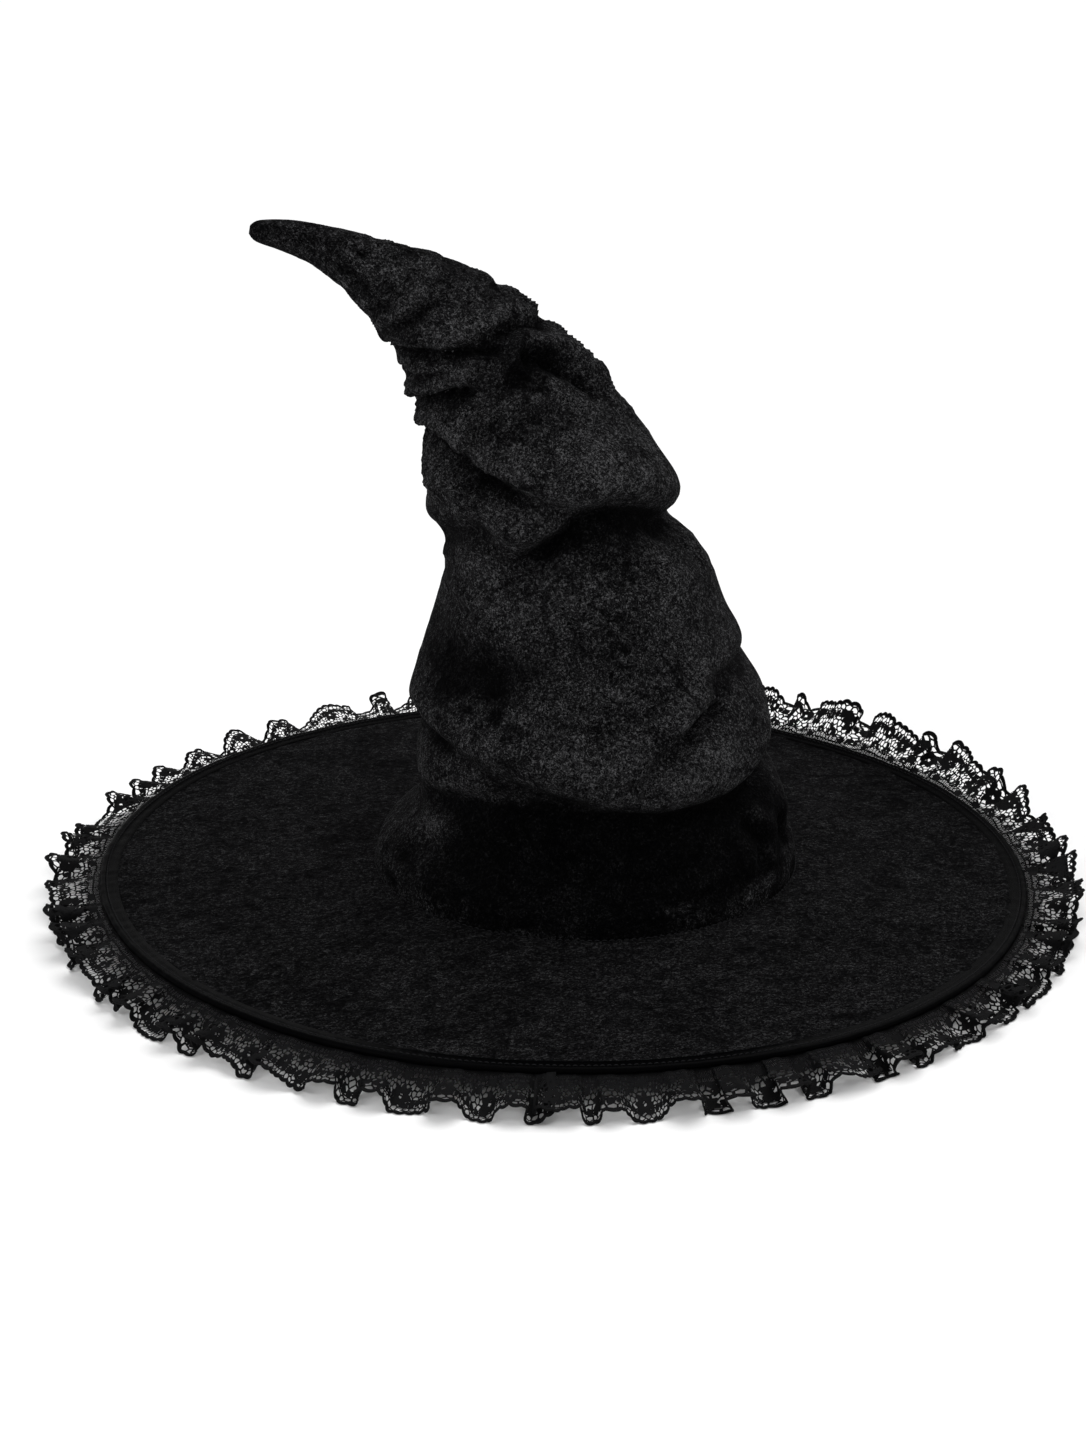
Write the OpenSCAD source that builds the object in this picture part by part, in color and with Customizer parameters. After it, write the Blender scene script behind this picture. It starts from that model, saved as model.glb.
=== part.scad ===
// Witch hat: a wired, scrunched velvet crown on a stiffened velvet brim with a satin
// bound edge and a gathered lace ruffle. The origin is on the table under the middle
// of the brim, +Z points up and the tip of the crown leans towards -X.

/* [Brim] */
// Radius of the bound edge of the brim
brim_r = 224; // [216:1:236]
// Height of the brim's top face at its edge above the table
brim_edge_z = 13; // [12:0.5:16]
// How much the brim rises from its edge to its middle
brim_rise = 7.5; // [4:0.5:9]
// Thickness of the foam inside the brim
brim_foam_t = 3.2; // [2:0.1:4]

/* [Head opening] */
// Inner radius of the sweatband, for a head 57 cm round
head_r = 90.5; // [86:0.5:91]
// Height of the sweatband
band_h = 20; // [14:1:20]
// Sideways offset of the crown and the head opening from the brim's middle
crown_x = 10.5; // [0:0.5:14]

/* [Lace] */
// Width of the lace beyond the bound edge
lace_w = 29; // [22:1:32]
// Number of flutes that the gathered lace stands in
flutes = 56; // [48:2:88]
// Height of the flutes at the hem
flute_h = 15; // [8:1:16]
// How much higher the hem stands at the back
back_rise = 11; // [0:1:14]

/* [Cloth] */
// Thickness of the velvet, pile included
velvet_t = 1.4; // [1:0.1:1.6]
// Thickness of the foam-backed interlining of the crown
interlining_t = 3; // [2:0.1:3.2]
// Thickness of the lining
lining_t = 0.8; // [0.6:0.1:0.9]

/* [Spine] */
// Diameter of the bendable wire up the middle of the crown
wire_d = 2.4; // [1.6:0.2:3]

/* [Hidden] */

$fn = 96;
gap = 0.1;               // between two layers of cloth
slit = 0.6;              // between two parts of the crown that bend past each other
thread_r = 0.3;
thread_gap = 0.02;       // between a thread and the cloth it lies on
cut = 1;                 // how far a cutting shape reaches past what it cuts
colour_velvet = [0.03, 0.03, 0.032];
colour_satin = [0.02, 0.02, 0.022];
colour_lace = [0.04, 0.04, 0.042];
colour_foam = [0.16, 0.16, 0.17];
colour_felt = [0.10, 0.10, 0.105];
colour_thread = [0.05, 0.05, 0.055];
colour_steel = [0.62, 0.63, 0.65];
colour_fibre = [0.86, 0.86, 0.84];

// Brim: layers in a shallow dish, with the crown's hole off its middle
hole_r = head_r + 1.5;
layers_r = brim_r - 4;
dish_steps = 10;
band_t = 1.2;
binding_h = 8.6;
binding_t = 0.9;
binding_w = 9;
stitch_inset = 1.2;      // from the binding's inner edge to its stitches
edge_wire_r = 1;
edge_wire_gap = 0.6;     // between the brim's layers and the wire
edge_wire_slot = 0.2;    // angle left open between the wire's two ends
sleeve_angle = 4.4;      // angle covered by the sleeve on those ends
sleeve_t = 0.31;
tape_w = 10;
tape_t = 0.8;
tape_inset = 1;          // from the bound edge to the tape
gather_inset = 5;        // from the bound edge to the gathering thread
under_velvet_t = 1.2;
layers_t = velvet_t + brim_foam_t + under_velvet_t + 2 * gap;

// Height of the brim's top face at a distance from its middle
function brim_top(r) = brim_edge_z + brim_rise * (1 - pow(r / brim_r, 2));

// The binding is level with the middle of the layers that it holds
binding_z = brim_top(brim_r - 0.72 * binding_w) - layers_t / 2;
edge_wire_at = layers_r + edge_wire_gap + edge_wire_r;
tape_z = binding_z - binding_h / 2 - gap - tape_t;
seam_r = 102;
seam_z = brim_top(seam_r - 5) + 0.15;
band_below_seam = 8.4;
band_z = seam_z - band_below_seam;

// Crown outline: offset from the crown's middle, height above the seam, radius and
// lean towards -X in degrees. Each row is a round section of the outer face.
crown_rows = [
    [0, 0, 102, -0.18],
    [1.5, 12.5, 100, 0],
    [6.5, 29.5, 90, 0],
    [4.5, 50.5, 84, 0],
    [2, 75.5, 80, 0],
    [-1, 93.5, 79, 2],
    [-4.5, 114.5, 73, 4],
    [-7.5, 145.5, 62.5, 8],
    [-14.5, 163.5, 53, 12],
    [-21, 184.5, 54, 14],
    [-26, 201.5, 50, 18],
    [-35.5, 221.5, 41.5, 27],
    [-52, 248.5, 34.5, 36],
    [-67.5, 267.5, 28, 45],
    [-83.5, 280, 22.5, 54],
    [-99, 289.5, 16, 60],
    [-117.5, 298.5, 10.5, 67],
    [-135.5, 304, 7.5, 76],
    [-149.5, 306.5, 5, 80],
    [-153.5, 307.2, 2, 80]
];
last_row = len(crown_rows) - 1;
sides = 28;              // facets round the crown
wire_sides = 8;

// Rows, counted with fractions, where the parts of the crown start and end
bend_row = 10.5;         // the first bend of the wire
tip_row = 13.5;          // the second bend of the wire
lining_row = 6.7;
anchor_row = 6.76;
interlining_row = 17.4;
wad_row = 16;
wire_row = 16.7;
cap_row = 16.75;
pivot_overlap = 0.45;    // rows that a part is drawn past its bend, to be cut round
bend_ball = 4.2;         // how far the ball of each bend reaches past its row's radius
tip_ball = 2.8;
tip_interlining_t = 2;
anchor_r = 22;
anchor_t = 1.5;
cap_t = 1;               // tape round the wire's end
wad_gap = 0.12;          // rows left free between a wad and a bend
wire_gap = 0.05;         // rows left free between two lengths of the wire

// One row of the crown, blended between its two neighbours
function row_at(u) =
    let (i = max(0, min(floor(u), last_row - 1)), f = u - i)
    crown_rows[i] * (1 - f) + crown_rows[i + 1] * f;

// Place of a row's middle
function middle(u) =
    let (row = row_at(u))
    [crown_x + row[0], 0, seam_z + row[1]];

// Distance from one row to the next, near a row
function row_step(u) = 10 * norm(middle(u) - middle(u - 0.1));

// Ring of points round a row, at a radius
function ring(u, r, n) =
    let (row = row_at(u), m = middle(u))
    [for (k = [0 : n - 1])
        let (a = 360 * k / n)
        m + [r * cos(a) * cos(row[3]), r * sin(a), r * cos(a) * sin(row[3])]];

// Row numbers from one to another, with every whole row between them
function rows_between(a, b) =
    concat([a], [for (i = [floor(a) + 1 : ceil(b) - 1]) i], [b]);

// Closed solid through a list of rings, with flat ends
module loft(rings) {
    n = len(rings[0]);
    m = len(rings);
    points = [for (r = rings) each r];
    walls = [for (j = [0 : m - 2], k = [0 : n - 1], half = [0, 1])
        let (a = j * n + k, b = j * n + (k + 1) % n, c = b + n, d = a + n)
        half == 0 ? [a, d, c] : [a, c, b]];
    bottom = [[for (k = [0 : n - 1]) k]];
    top = [[for (k = [n - 1 : -1 : 0]) (m - 1) * n + k]];
    polyhedron(points, concat(walls, bottom, top));
}

// Closed solid through rings that run up the outside and back down the inside. The
// inside's squares are split along the same diagonals as the outside's, so that layers
// of cloth lie in each other without touching.
module tube(rings) {
    n = len(rings[0]);
    m = len(rings);
    points = [for (r = rings) each r];
    walls = [for (j = [0 : m - 1], k = [0 : n - 1], half = [0, 1])
        let (a = j * n + k,
             b = j * n + (k + 1) % n,
             c = ((j + 1) % m) * n + (k + 1) % n,
             d = ((j + 1) % m) * n + k)
        j < m / 2 ? (half == 0 ? [a, d, c] : [a, c, b])
                  : (half == 0 ? [a, d, b] : [b, d, c])];
    polyhedron(points, walls);
}

// Length of cloth along the crown, between two distances in from its outer face
module crown_cloth(from, to, inset, t) {
    us = rows_between(from, to);
    up = [for (u = us) ring(u, row_at(u)[2] - inset, sides)];
    down = [for (i = [len(us) - 1 : -1 : 0]) ring(us[i], row_at(us[i])[2] - inset - t, sides)];
    tube(concat(up, down));
}

// Length of cloth along the crown whose upper end is closed
module closed_cloth(from, to, inset, t) {
    us = rows_between(from, to);
    difference() {
        loft([for (u = us) ring(u, row_at(u)[2] - inset, sides)]);
        inner = rows_between(from - 0.1, to - t / row_step(to));
        loft([for (u = inner) ring(u, max(0.6, row_at(u)[2] - inset - t), sides)]);
    }
}

// Wad of fibre with round ends and a hole for the wire, between two rows
module wad(from, to) {
    steps = 12;
    us = [for (i = [0 : steps]) from + (to - from) * i / steps];
    end_round = 0.35;        // share of the wad's length that its round end takes
    end_flat = 0.3;          // share of the width that the very end keeps
    loose = 0.84;            // share of the room inside the cloth that it fills
    hole = wire_d / 2 + 0.7;
    thinnest = 1;
    function fill(i) =
        let (e = min(i, steps - i) / steps)
        e < end_round ? sqrt(1 - pow(1 - e / end_round, 2)) * (1 - end_flat) + end_flat : 1;
    function full(u) = loose * (row_at(u)[2] - velvet_t - interlining_t);
    function wad_r(i) = max(full(us[i]) * fill(i), hole + thinnest);
    up = [for (i = [0 : steps]) ring(us[i], wad_r(i), sides)];
    down = [for (i = [steps : -1 : 0]) ring(us[i], hole, sides)];
    tube(concat(up, down));
}

// Stretch of wire along the middle of the crown
module spine(from, to) {
    loft([for (u = rows_between(from, to)) ring(u, wire_d / 2, wire_sides)]);
}

// Radius of the ball round which a bend's two parts are cut
function ball_r(u) = row_at(u)[2] + (u == bend_row ? bend_ball : tip_ball);

// Keeps what lies outside the ball of a bend
module below_bend(u) {
    difference() {
        children();
        translate(middle(u)) sphere(r = ball_r(u) + slit);
    }
}

// Keeps what lies above a bend, or inside its ball
module above_bend(u) {
    far = 200;
    difference() {
        children();
        difference() {
            translate(middle(u)) rotate([0, -row_at(u)[3], 0]) translate([0, 0, -far / 2])
                cube([2 * far, 2 * far, far], center = true);
            translate(middle(u)) sphere(r = ball_r(u));
        }
    }
}

// Layer of the brim, from a depth under the top face down by its thickness
module brim_layer(depth, t, r_out) {
    r_in = hole_r - crown_x - 2 * cut;
    function at(i) = r_in + (r_out - r_in) * i / dish_steps;
    over = [for (i = [0 : dish_steps]) [at(i), brim_top(at(i)) - depth]];
    under = [for (i = [dish_steps : -1 : 0]) [at(i), brim_top(at(i)) - depth - t]];
    difference() {
        rotate_extrude() polygon(concat(over, under));
        translate([crown_x, 0, 0]) cylinder(r = hole_r, h = seam_z + cut);
    }
}

module torus(major, minor) {
    rotate_extrude() translate([major, 0]) circle(r = minor, $fn = 24);
}

module brim_top_velvet() {
    color(colour_velvet) brim_layer(0, velvet_t, layers_r);
}

module brim_foam() {
    color(colour_foam) brim_layer(velvet_t + gap, brim_foam_t, layers_r);
}

module brim_under_velvet() {
    color(colour_velvet) brim_layer(velvet_t + brim_foam_t + 2 * gap, under_velvet_t, layers_r);
}

// Flat strip with a round outer edge, as a section of the edge finish
module edge_section(r_in, grow) {
    half = binding_h / 2 + grow;
    middle_r = brim_r - binding_h / 2;
    translate([r_in, binding_z - half]) square([middle_r - r_in, 2 * half]);
    translate([middle_r, binding_z]) circle(r = half, $fn = 48);
}

module edge_binding() {
    color(colour_satin) rotate_extrude() difference() {
        edge_section(brim_r - binding_w, 0);
        edge_section(brim_r - binding_w - cut, -binding_t);
    }
}

module edge_wire() {
    color(colour_steel) translate([0, 0, binding_z])
        rotate([0, 0, edge_wire_slot / 2]) rotate_extrude(angle = 360 - edge_wire_slot)
            translate([edge_wire_at, 0]) circle(r = edge_wire_r, $fn = 24);
}

// Crimped sleeve over the two ends of the edge wire
module edge_wire_joiner() {
    inside = edge_wire_r + 0.04;
    color(colour_steel) translate([0, 0, binding_z]) rotate([0, 0, -sleeve_angle / 2])
        rotate_extrude(angle = sleeve_angle) translate([edge_wire_at, 0]) difference() {
            circle(r = inside + sleeve_t, $fn = 24);
            circle(r = inside, $fn = 24);
        }
}

module binding_stitches() {
    color(colour_thread)
        translate([0, 0, binding_z + binding_h / 2 + thread_r + thread_gap])
            torus(brim_r - binding_w + stitch_inset, thread_r);
}

module lace_heading_tape() {
    tape_r = brim_r - tape_inset;
    color(colour_lace) translate([0, 0, tape_z]) difference() {
        cylinder(r = tape_r, h = tape_t);
        translate([0, 0, -cut]) cylinder(r = tape_r - tape_w, h = tape_t + 2 * cut);
    }
}

module lace_gathering_stitches() {
    color(colour_thread) translate([0, 0, tape_z - thread_r - thread_gap])
        torus(brim_r - gather_inset, thread_r);
}

// Gathered lace: rings of points at three radii that wave up and down in flutes
module lace_ruffle() {
    columns = flutes * 4;
    t = 0.9;
    high_at = 55;            // direction in which the hem stands highest
    hem_mid = flute_h / 2 + t / 2;
    root_z = tape_z - gap - 2 * thread_r - t;
    radii = [brim_r - 3, brim_r + 4, brim_r + lace_w];
    swing = [0.4, 1.2, flute_h / 2];
    function lift(a) = back_rise * pow(max(0, cos(a - high_at)), 3);
    mids = [root_z, root_z + 0.6, hem_mid];
    function wave(k) = [0, 1, 0, -1][k % 4];
    function edge(j, side) = [for (k = [0 : columns - 1])
        let (a = 360 * k / columns,
             rise = j == 2 ? lift(a) : 0,
             z = max(t / 2, mids[j] + swing[j] * wave(k) + rise) + side * t / 2)
        [radii[j] * cos(a), radii[j] * sin(a), z]];
    rings = [for (j = [0 : 2]) edge(j, -1)];
    back = [for (j = [2 : -1 : 0]) edge(j, 1)];
    color(colour_lace) tube(concat(rings, back));
}

module sweatband() {
    color(colour_satin) translate([crown_x, 0, band_z]) difference() {
        cylinder(r = head_r + band_t, h = band_h);
        translate([0, 0, -cut]) cylinder(r = head_r, h = band_h + 2 * cut);
    }
}

module sweatband_stitches() {
    color(colour_thread) translate([crown_x, 0, band_z + 0.6])
        torus(head_r + band_t + thread_r + thread_gap, thread_r);
}

module crown_seam_stitches() {
    color(colour_thread) translate([crown_x, 0, seam_z + 1.5])
        torus(seam_r + thread_r + 0.15, thread_r);
}

module crown_velvet_lower() {
    color(colour_velvet) below_bend(bend_row)
        crown_cloth(0, bend_row, 0, velvet_t);
}

module crown_interlining_lower() {
    color(colour_felt) below_bend(bend_row)
        crown_cloth(0, bend_row, velvet_t + gap, interlining_t);
}

module crown_lining() {
    color(colour_satin)
        closed_cloth(0, lining_row, velvet_t + interlining_t + 2 * gap, lining_t);
}

module stuffing_lower() {
    color(colour_fibre) wad(anchor_row + wad_gap, bend_row - wad_gap);
}

// Round patch on top of the lining that the wire's foot is sewn to
module spine_anchor() {
    row = row_at(anchor_row);
    color(colour_felt) translate(middle(anchor_row)) rotate([0, -row[3], 0])
        translate([0, 0, -anchor_t - gap]) cylinder(r = anchor_r, h = anchor_t);
}

module spine_wire_lower() {
    color(colour_steel) spine(anchor_row, bend_row - wire_gap);
}

module crown_velvet_middle() {
    color(colour_velvet) below_bend(tip_row) above_bend(bend_row)
        crown_cloth(bend_row - pivot_overlap, tip_row, 0, velvet_t);
}

module crown_interlining_middle() {
    color(colour_felt) below_bend(tip_row) above_bend(bend_row)
        crown_cloth(bend_row - pivot_overlap, tip_row, velvet_t + gap, interlining_t);
}

module stuffing_middle() {
    color(colour_fibre) wad(bend_row + wad_gap, tip_row - wad_gap);
}

module spine_wire_middle() {
    color(colour_steel) spine(bend_row + wire_gap, tip_row - wire_gap);
}

module crown_velvet_tip() {
    color(colour_velvet) above_bend(tip_row)
        closed_cloth(tip_row - pivot_overlap, last_row, 0, velvet_t);
}

module crown_interlining_tip() {
    color(colour_felt) above_bend(tip_row)
        closed_cloth(tip_row - pivot_overlap, interlining_row, velvet_t + gap, tip_interlining_t);
}

module stuffing_tip() {
    color(colour_fibre) wad(tip_row + wad_gap, wad_row);
}

module spine_wire_tip() {
    color(colour_steel) spine(tip_row + wire_gap, wire_row);
}

// Taped end of the wire, so that it can't poke through the cloth
module spine_end_cap() {
    color(colour_felt) difference() {
        translate(middle(cap_row)) sphere(r = wire_d / 2 + cap_t, $fn = 48);
        loft([for (u = [cap_row - 0.35, cap_row]) ring(u, wire_d / 2 + gap / 2, wire_sides)]);
    }
}

brim_top_velvet();
brim_foam();
brim_under_velvet();
edge_wire();
edge_wire_joiner();
edge_binding();
binding_stitches();
lace_heading_tape();
lace_gathering_stitches();
lace_ruffle();
sweatband();
sweatband_stitches();
crown_seam_stitches();
crown_velvet_lower();
crown_interlining_lower();
crown_lining();
stuffing_lower();
spine_anchor();
spine_wire_lower();
crown_velvet_middle();
crown_interlining_middle();
stuffing_middle();
spine_wire_middle();
crown_velvet_tip();
crown_interlining_tip();
stuffing_tip();
spine_wire_tip();
spine_end_cap();
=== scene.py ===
import math

import bpy
import numpy as np
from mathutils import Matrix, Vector
from mathutils.bvhtree import BVHTree


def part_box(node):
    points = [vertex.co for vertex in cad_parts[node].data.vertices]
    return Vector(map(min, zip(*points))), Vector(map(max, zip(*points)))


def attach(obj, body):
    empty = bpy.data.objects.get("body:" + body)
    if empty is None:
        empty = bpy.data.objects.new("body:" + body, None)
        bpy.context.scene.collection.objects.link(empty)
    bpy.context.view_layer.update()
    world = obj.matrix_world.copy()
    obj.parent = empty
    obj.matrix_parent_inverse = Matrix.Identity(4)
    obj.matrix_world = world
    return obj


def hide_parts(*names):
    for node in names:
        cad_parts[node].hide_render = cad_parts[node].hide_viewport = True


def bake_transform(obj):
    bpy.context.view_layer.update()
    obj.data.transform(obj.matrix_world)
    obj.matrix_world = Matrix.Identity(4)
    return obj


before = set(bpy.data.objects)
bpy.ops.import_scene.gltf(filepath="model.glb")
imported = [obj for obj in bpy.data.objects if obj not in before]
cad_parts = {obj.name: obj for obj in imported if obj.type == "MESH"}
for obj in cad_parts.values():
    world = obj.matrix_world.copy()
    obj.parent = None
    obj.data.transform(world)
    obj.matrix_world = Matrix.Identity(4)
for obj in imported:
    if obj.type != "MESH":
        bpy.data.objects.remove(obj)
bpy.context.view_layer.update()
mm = 0.001
print("frame loaded")


# Sizes that the CAD nodes give

def nodeBox(node):
    low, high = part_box(node)
    return np.array(low), np.array(high)


bindingHigh = nodeBox("edge_binding")[1]
velvetHigh = nodeBox("brim_top_velvet")[1]
crownLow = nodeBox("crown_velvet_lower")[0]
sweatLow, sweatHigh = nodeBox("sweatband")

brimEdge = bindingHigh[0]  # radius of the bound edge
bindingHalf = 1.75 * mm  # the edge is pressed thinner than the brim
bindingMid = bindingHigh[2] - bindingHalf
headRadius = (sweatHigh[0] - sweatLow[0]) / 2
crownX = (sweatHigh[0] + sweatLow[0]) / 2
seamHeight = crownLow[2]

brim = {
    "edgeHeight": 13 * mm,  # top face at the bound edge
    "rise": 7.5 * mm,  # from the edge to the middle
    "thickness": 6 * mm,
    "edgeThickness": 2.7 * mm,
    "warp": 3.2 * mm,  # how far the left edge stands above the level, and the right edge below
    "ripple": 0.7 * mm,  # the cloth's own unevenness
    "hairy": 0.16 * mm,  # the roughness of its face, and of the face below
    "hairyUnder": 0.1 * mm,
    "holeGap": 1.5 * mm,  # between the head opening and the brim's cut hole
    "edgeGap": 1 * mm,  # how far the layers stop short of the velvet's edge
}


def smooth(value):
    value = np.clip(value, 0, 1)
    return value * value * (3 - 2 * value)


# Lattice noise from -1 to 1, the same in every run
def softNoise(points, seed=0):
    points = np.asarray(points, float)
    base = np.floor(points).astype(np.int64)
    part = points - base
    part = part * part * (3 - 2 * part)
    total = np.zeros(points.shape[:-1])
    for corner in range(8):
        step = np.array([corner & 1, corner >> 1 & 1, corner >> 2 & 1])
        mixed = (base + step) @ np.array([73856093, 19349663, 83492791]) + seed * 2654435
        mixed = (mixed ^ mixed >> 13) * 1274126177 & 0x7FFFFFFF
        value = ((mixed ^ mixed >> 16) & 0xFFFF) / 32767.5 - 1
        total += value * np.prod(np.where(step, part, 1 - part), axis=-1)
    return total


# Noise over cloth that lies flat, in patches of this size
def flatNoise(x, y, sizeX, sizeY, seed):
    return softNoise(np.stack([x / sizeX, y / sizeY, 0 * x], -1), seed)


def brimTop(x, y):
    radius = np.hypot(x, y)
    dish = brim["edgeHeight"] + brim["rise"] * (1 - (radius / brimEdge) ** 2)
    lean = -brim["warp"] * x / brimEdge * smooth(radius / brimEdge * 1.6 - 0.6)
    away = smooth((np.hypot(x - crownX, y) - 105 * mm) / (40 * mm))
    return dish + lean + brim["ripple"] * away * flatNoise(x, y, 70 * mm, 55 * mm, 3)


# The binding presses the foam together near the edge
def brimThickness(x, y):
    pressed = smooth((np.hypot(x, y) - brimEdge + 26 * mm) / (18 * mm))
    return brim["thickness"] + (brim["edgeThickness"] - brim["thickness"]) * pressed


def edgeLift(angle):
    return brimTop(brimEdge * np.cos(angle), brimEdge * np.sin(angle)) - brim["edgeHeight"]


# Meshes

def makeMesh(name, points, faces, smoothShade=True):
    mesh = bpy.data.meshes.new(name)
    points = np.asarray(points, np.float32).reshape(-1, 3)
    faces = np.asarray(faces, np.int32)
    corners = faces.shape[1]
    mesh.vertices.add(len(points))
    mesh.vertices.foreach_set("co", points.ravel())
    mesh.loops.add(faces.size)
    mesh.loops.foreach_set("vertex_index", faces.ravel())
    mesh.polygons.add(len(faces))
    mesh.polygons.foreach_set("loop_start", np.arange(0, faces.size, corners, dtype=np.int32))
    mesh.update(calc_edges=True)
    mesh.validate()
    if smoothShade:
        mesh.polygons.foreach_set("use_smooth", np.ones(len(mesh.polygons), bool))
    return keepPlace(mesh, points)


# Remembers where each point was at rest, so that the cloth's pattern moves with the cloth
def keepPlace(mesh, points):
    rest = mesh.attributes.new("rest", "FLOAT_VECTOR", "POINT")
    rest.data.foreach_set("vector", np.asarray(points, np.float32).ravel())
    piece = bpy.data.objects.new(mesh.name, mesh)
    bpy.context.scene.collection.objects.link(piece)
    return piece


# Stores painted light and shade at each point; the crown velvet's material multiplies its pile colour by it
def setPaintedShade(piece, paintedShade):
    attribute = piece.data.attributes.new("paintedShade", "FLOAT", "POINT")
    attribute.data.foreach_set("value", np.asarray(paintedShade, np.float32).ravel())


# Squares between the rows and columns of a grid whose last column meets its first
def gridFaces(rows, columns):
    j, k = np.meshgrid(np.arange(rows - 1), np.arange(columns), indexing="ij")
    a = j * columns + k
    b = j * columns + (k + 1) % columns
    return np.stack([a, b, b + columns, a + columns], -1).reshape(-1, 4)


def gridPiece(name, grid):
    return makeMesh(name, grid, gridFaces(*grid.shape[:2]))


# The same for a closed band, whose last row meets its first too
def sweptFaces(rows, columns):
    j, k = np.meshgrid(np.arange(rows), np.arange(columns), indexing="ij")
    a = j * columns + k
    b = j * columns + (k + 1) % columns
    c = (j + 1) % rows * columns + (k + 1) % columns
    d = (j + 1) % rows * columns + k
    return np.stack([a, b, c, d], -1).reshape(-1, 4)


# A round tube: a ring of points about each point of its middle line
def tubeRings(middle, outward, up, size, sides):
    ring = np.arange(sides) * 2 * math.pi / sides
    circle = (np.cos(ring)[None, :, None] * outward[:, None]
              + np.sin(ring)[None, :, None] * np.atleast_2d(up)[:, None])
    return middle[:, None] + np.reshape(size, (-1, 1, 1)) * circle


def finishPiece(piece, material, nodes=()):
    piece.data.materials.clear()
    piece.data.materials.append(material)
    if nodes:
        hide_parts(*nodes)
    return piece


# Materials

class Wire:
    # A value, colour or vector on its way through a material's nodes

    def __init__(self, tree, socket=None):
        self.tree = tree
        self.socket = socket

    def add(self, kind, settings=None, sockets=None, out=0):
        node = self.tree.nodes.new("ShaderNode" + kind)
        for key, value in (settings or {}).items():
            setattr(node, key, value)
        for key, value in (sockets or {}).items():
            if isinstance(value, Wire):
                self.tree.links.new(value.socket, node.inputs[key])
            else:
                node.inputs[key].default_value = value
        return Wire(self.tree, node.outputs[out])

    def maths(self, operation, first, second):
        return self.add("Math", {"operation": operation}, {0: first, 1: second})

    def __add__(self, other):
        return self.maths("ADD", self, other)

    __radd__ = __add__

    def __sub__(self, other):
        return self.maths("SUBTRACT", self, other)

    def __rsub__(self, other):
        return self.maths("SUBTRACT", other, self)

    def __mul__(self, other):
        return self.maths("MULTIPLY", self, other)

    __rmul__ = __mul__

    def scaled(self, factors):
        return self.add("VectorMath", {"operation": "MULTIPLY"}, {0: self, 1: factors})

    def noise(self, scale, detail=2, rough=0.5, distort=0):
        sockets = {"Vector": self, "Scale": scale, "Detail": detail, "Roughness": rough, "Distortion": distort}
        return self.add("TexNoise", None, sockets)

    def between(self, low, high):
        sockets = {"Value": self, "From Min": low, "From Max": high}
        return self.add("MapRange", {"clamp": True, "interpolation_type": "SMOOTHSTEP"}, sockets)

    def colour(self, dark, light):
        sockets = {"Factor": self, 6: (*dark, 1), 7: (*light, 1)}
        return self.add("Mix", {"data_type": "RGBA"}, sockets, out=2)


def newMaterial(name):
    material = bpy.data.materials.new(name)
    material.use_nodes = True
    tree = material.node_tree
    tree.nodes.clear()
    return material, Wire(tree)


def objectPlace(start):
    return start.add("TexCoord", out=3)


def restPlace(start):
    return start.add("Attribute", {"attribute_name": "rest"}, out=1)


def endMaterial(start, surface):
    end = start.tree.nodes.new("ShaderNodeOutputMaterial")
    start.tree.links.new(surface.socket, end.inputs["Surface"])


velvetLook = {
    "pileDark": (0.0006, 0.0006, 0.0007),
    "pileLight": (0.088, 0.088, 0.0915),
    "curlScale": 360,  # the small curls of crushed pile, per metre
    "patchScale": 30,  # the larger patches that lie one way
    "gloss": 0.008,
    "sheen": 0.01,
}


# Crushed velvet: dark pile with patches that lie one way and fine bright curls between them
def crushedVelvet(name, stretch=(1, 1, 1), light=1.0, bump=1.0, withPaintedShade=True, slant=0.0):
    material, start = newMaterial(name)
    place = restPlace(start)
    place = place.add("VectorRotate", {"rotation_type": "Z_AXIS"}, {"Vector": place, "Angle": slant})
    place = place.scaled(stretch)
    wide = place.noise(velvetLook["patchScale"], 3, 0.6, 1.2).between(0.34, 0.68)
    middle = place.noise(velvetLook["patchScale"] * 4.6, 4, 0.7, 1.4).between(0.36, 0.68)
    curls = place.noise(velvetLook["curlScale"], 3, 0.65, 3.2)
    specks = place.noise(velvetLook["curlScale"] * 2.2, 2, 0.7, 0.8).between(0.48, 0.64)
    line = start.add("Math", {"operation": "ABSOLUTE"}, {0: curls - 0.5})
    lines = 1 - line.between(0.0, 0.075)
    patches = 0.07 + 0.93 * (0.35 * wide + 0.65 * middle)
    pile = patches * (0.01 + 0.3 * lines + 0.22 * specks + 1.25 * lines * specks)
    # painted light and shade: the pile colour is darkened and lightened by the stored attribute, painted shade
    # in the hollows and painted light on the ridges
    if withPaintedShade:
        pile = pile * start.add("Attribute", {"attribute_name": "paintedShade"}, out=2)
    bright = tuple(light * c for c in velvetLook["pileLight"])
    height = 0.35 * curls + 0.2 * specks + 1.2 * middle
    bumped = start.add("Bump", None, {"Strength": 0.7 * bump, "Distance": 0.001, "Height": height})
    surface = start.add("BsdfPrincipled", None, {
        "Base Color": pile.colour(velvetLook["pileDark"], bright),
        "Roughness": 0.9 - 0.25 * pile,
        "Normal": bumped,
        "Specular IOR Level": velvetLook["gloss"],
        "Sheen Weight": velvetLook["sheen"],
        "Sheen Roughness": 0.45,
        "Sheen Tint": (0.5, 0.5, 0.53, 1),
    })
    endMaterial(start, surface)
    return material


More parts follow.
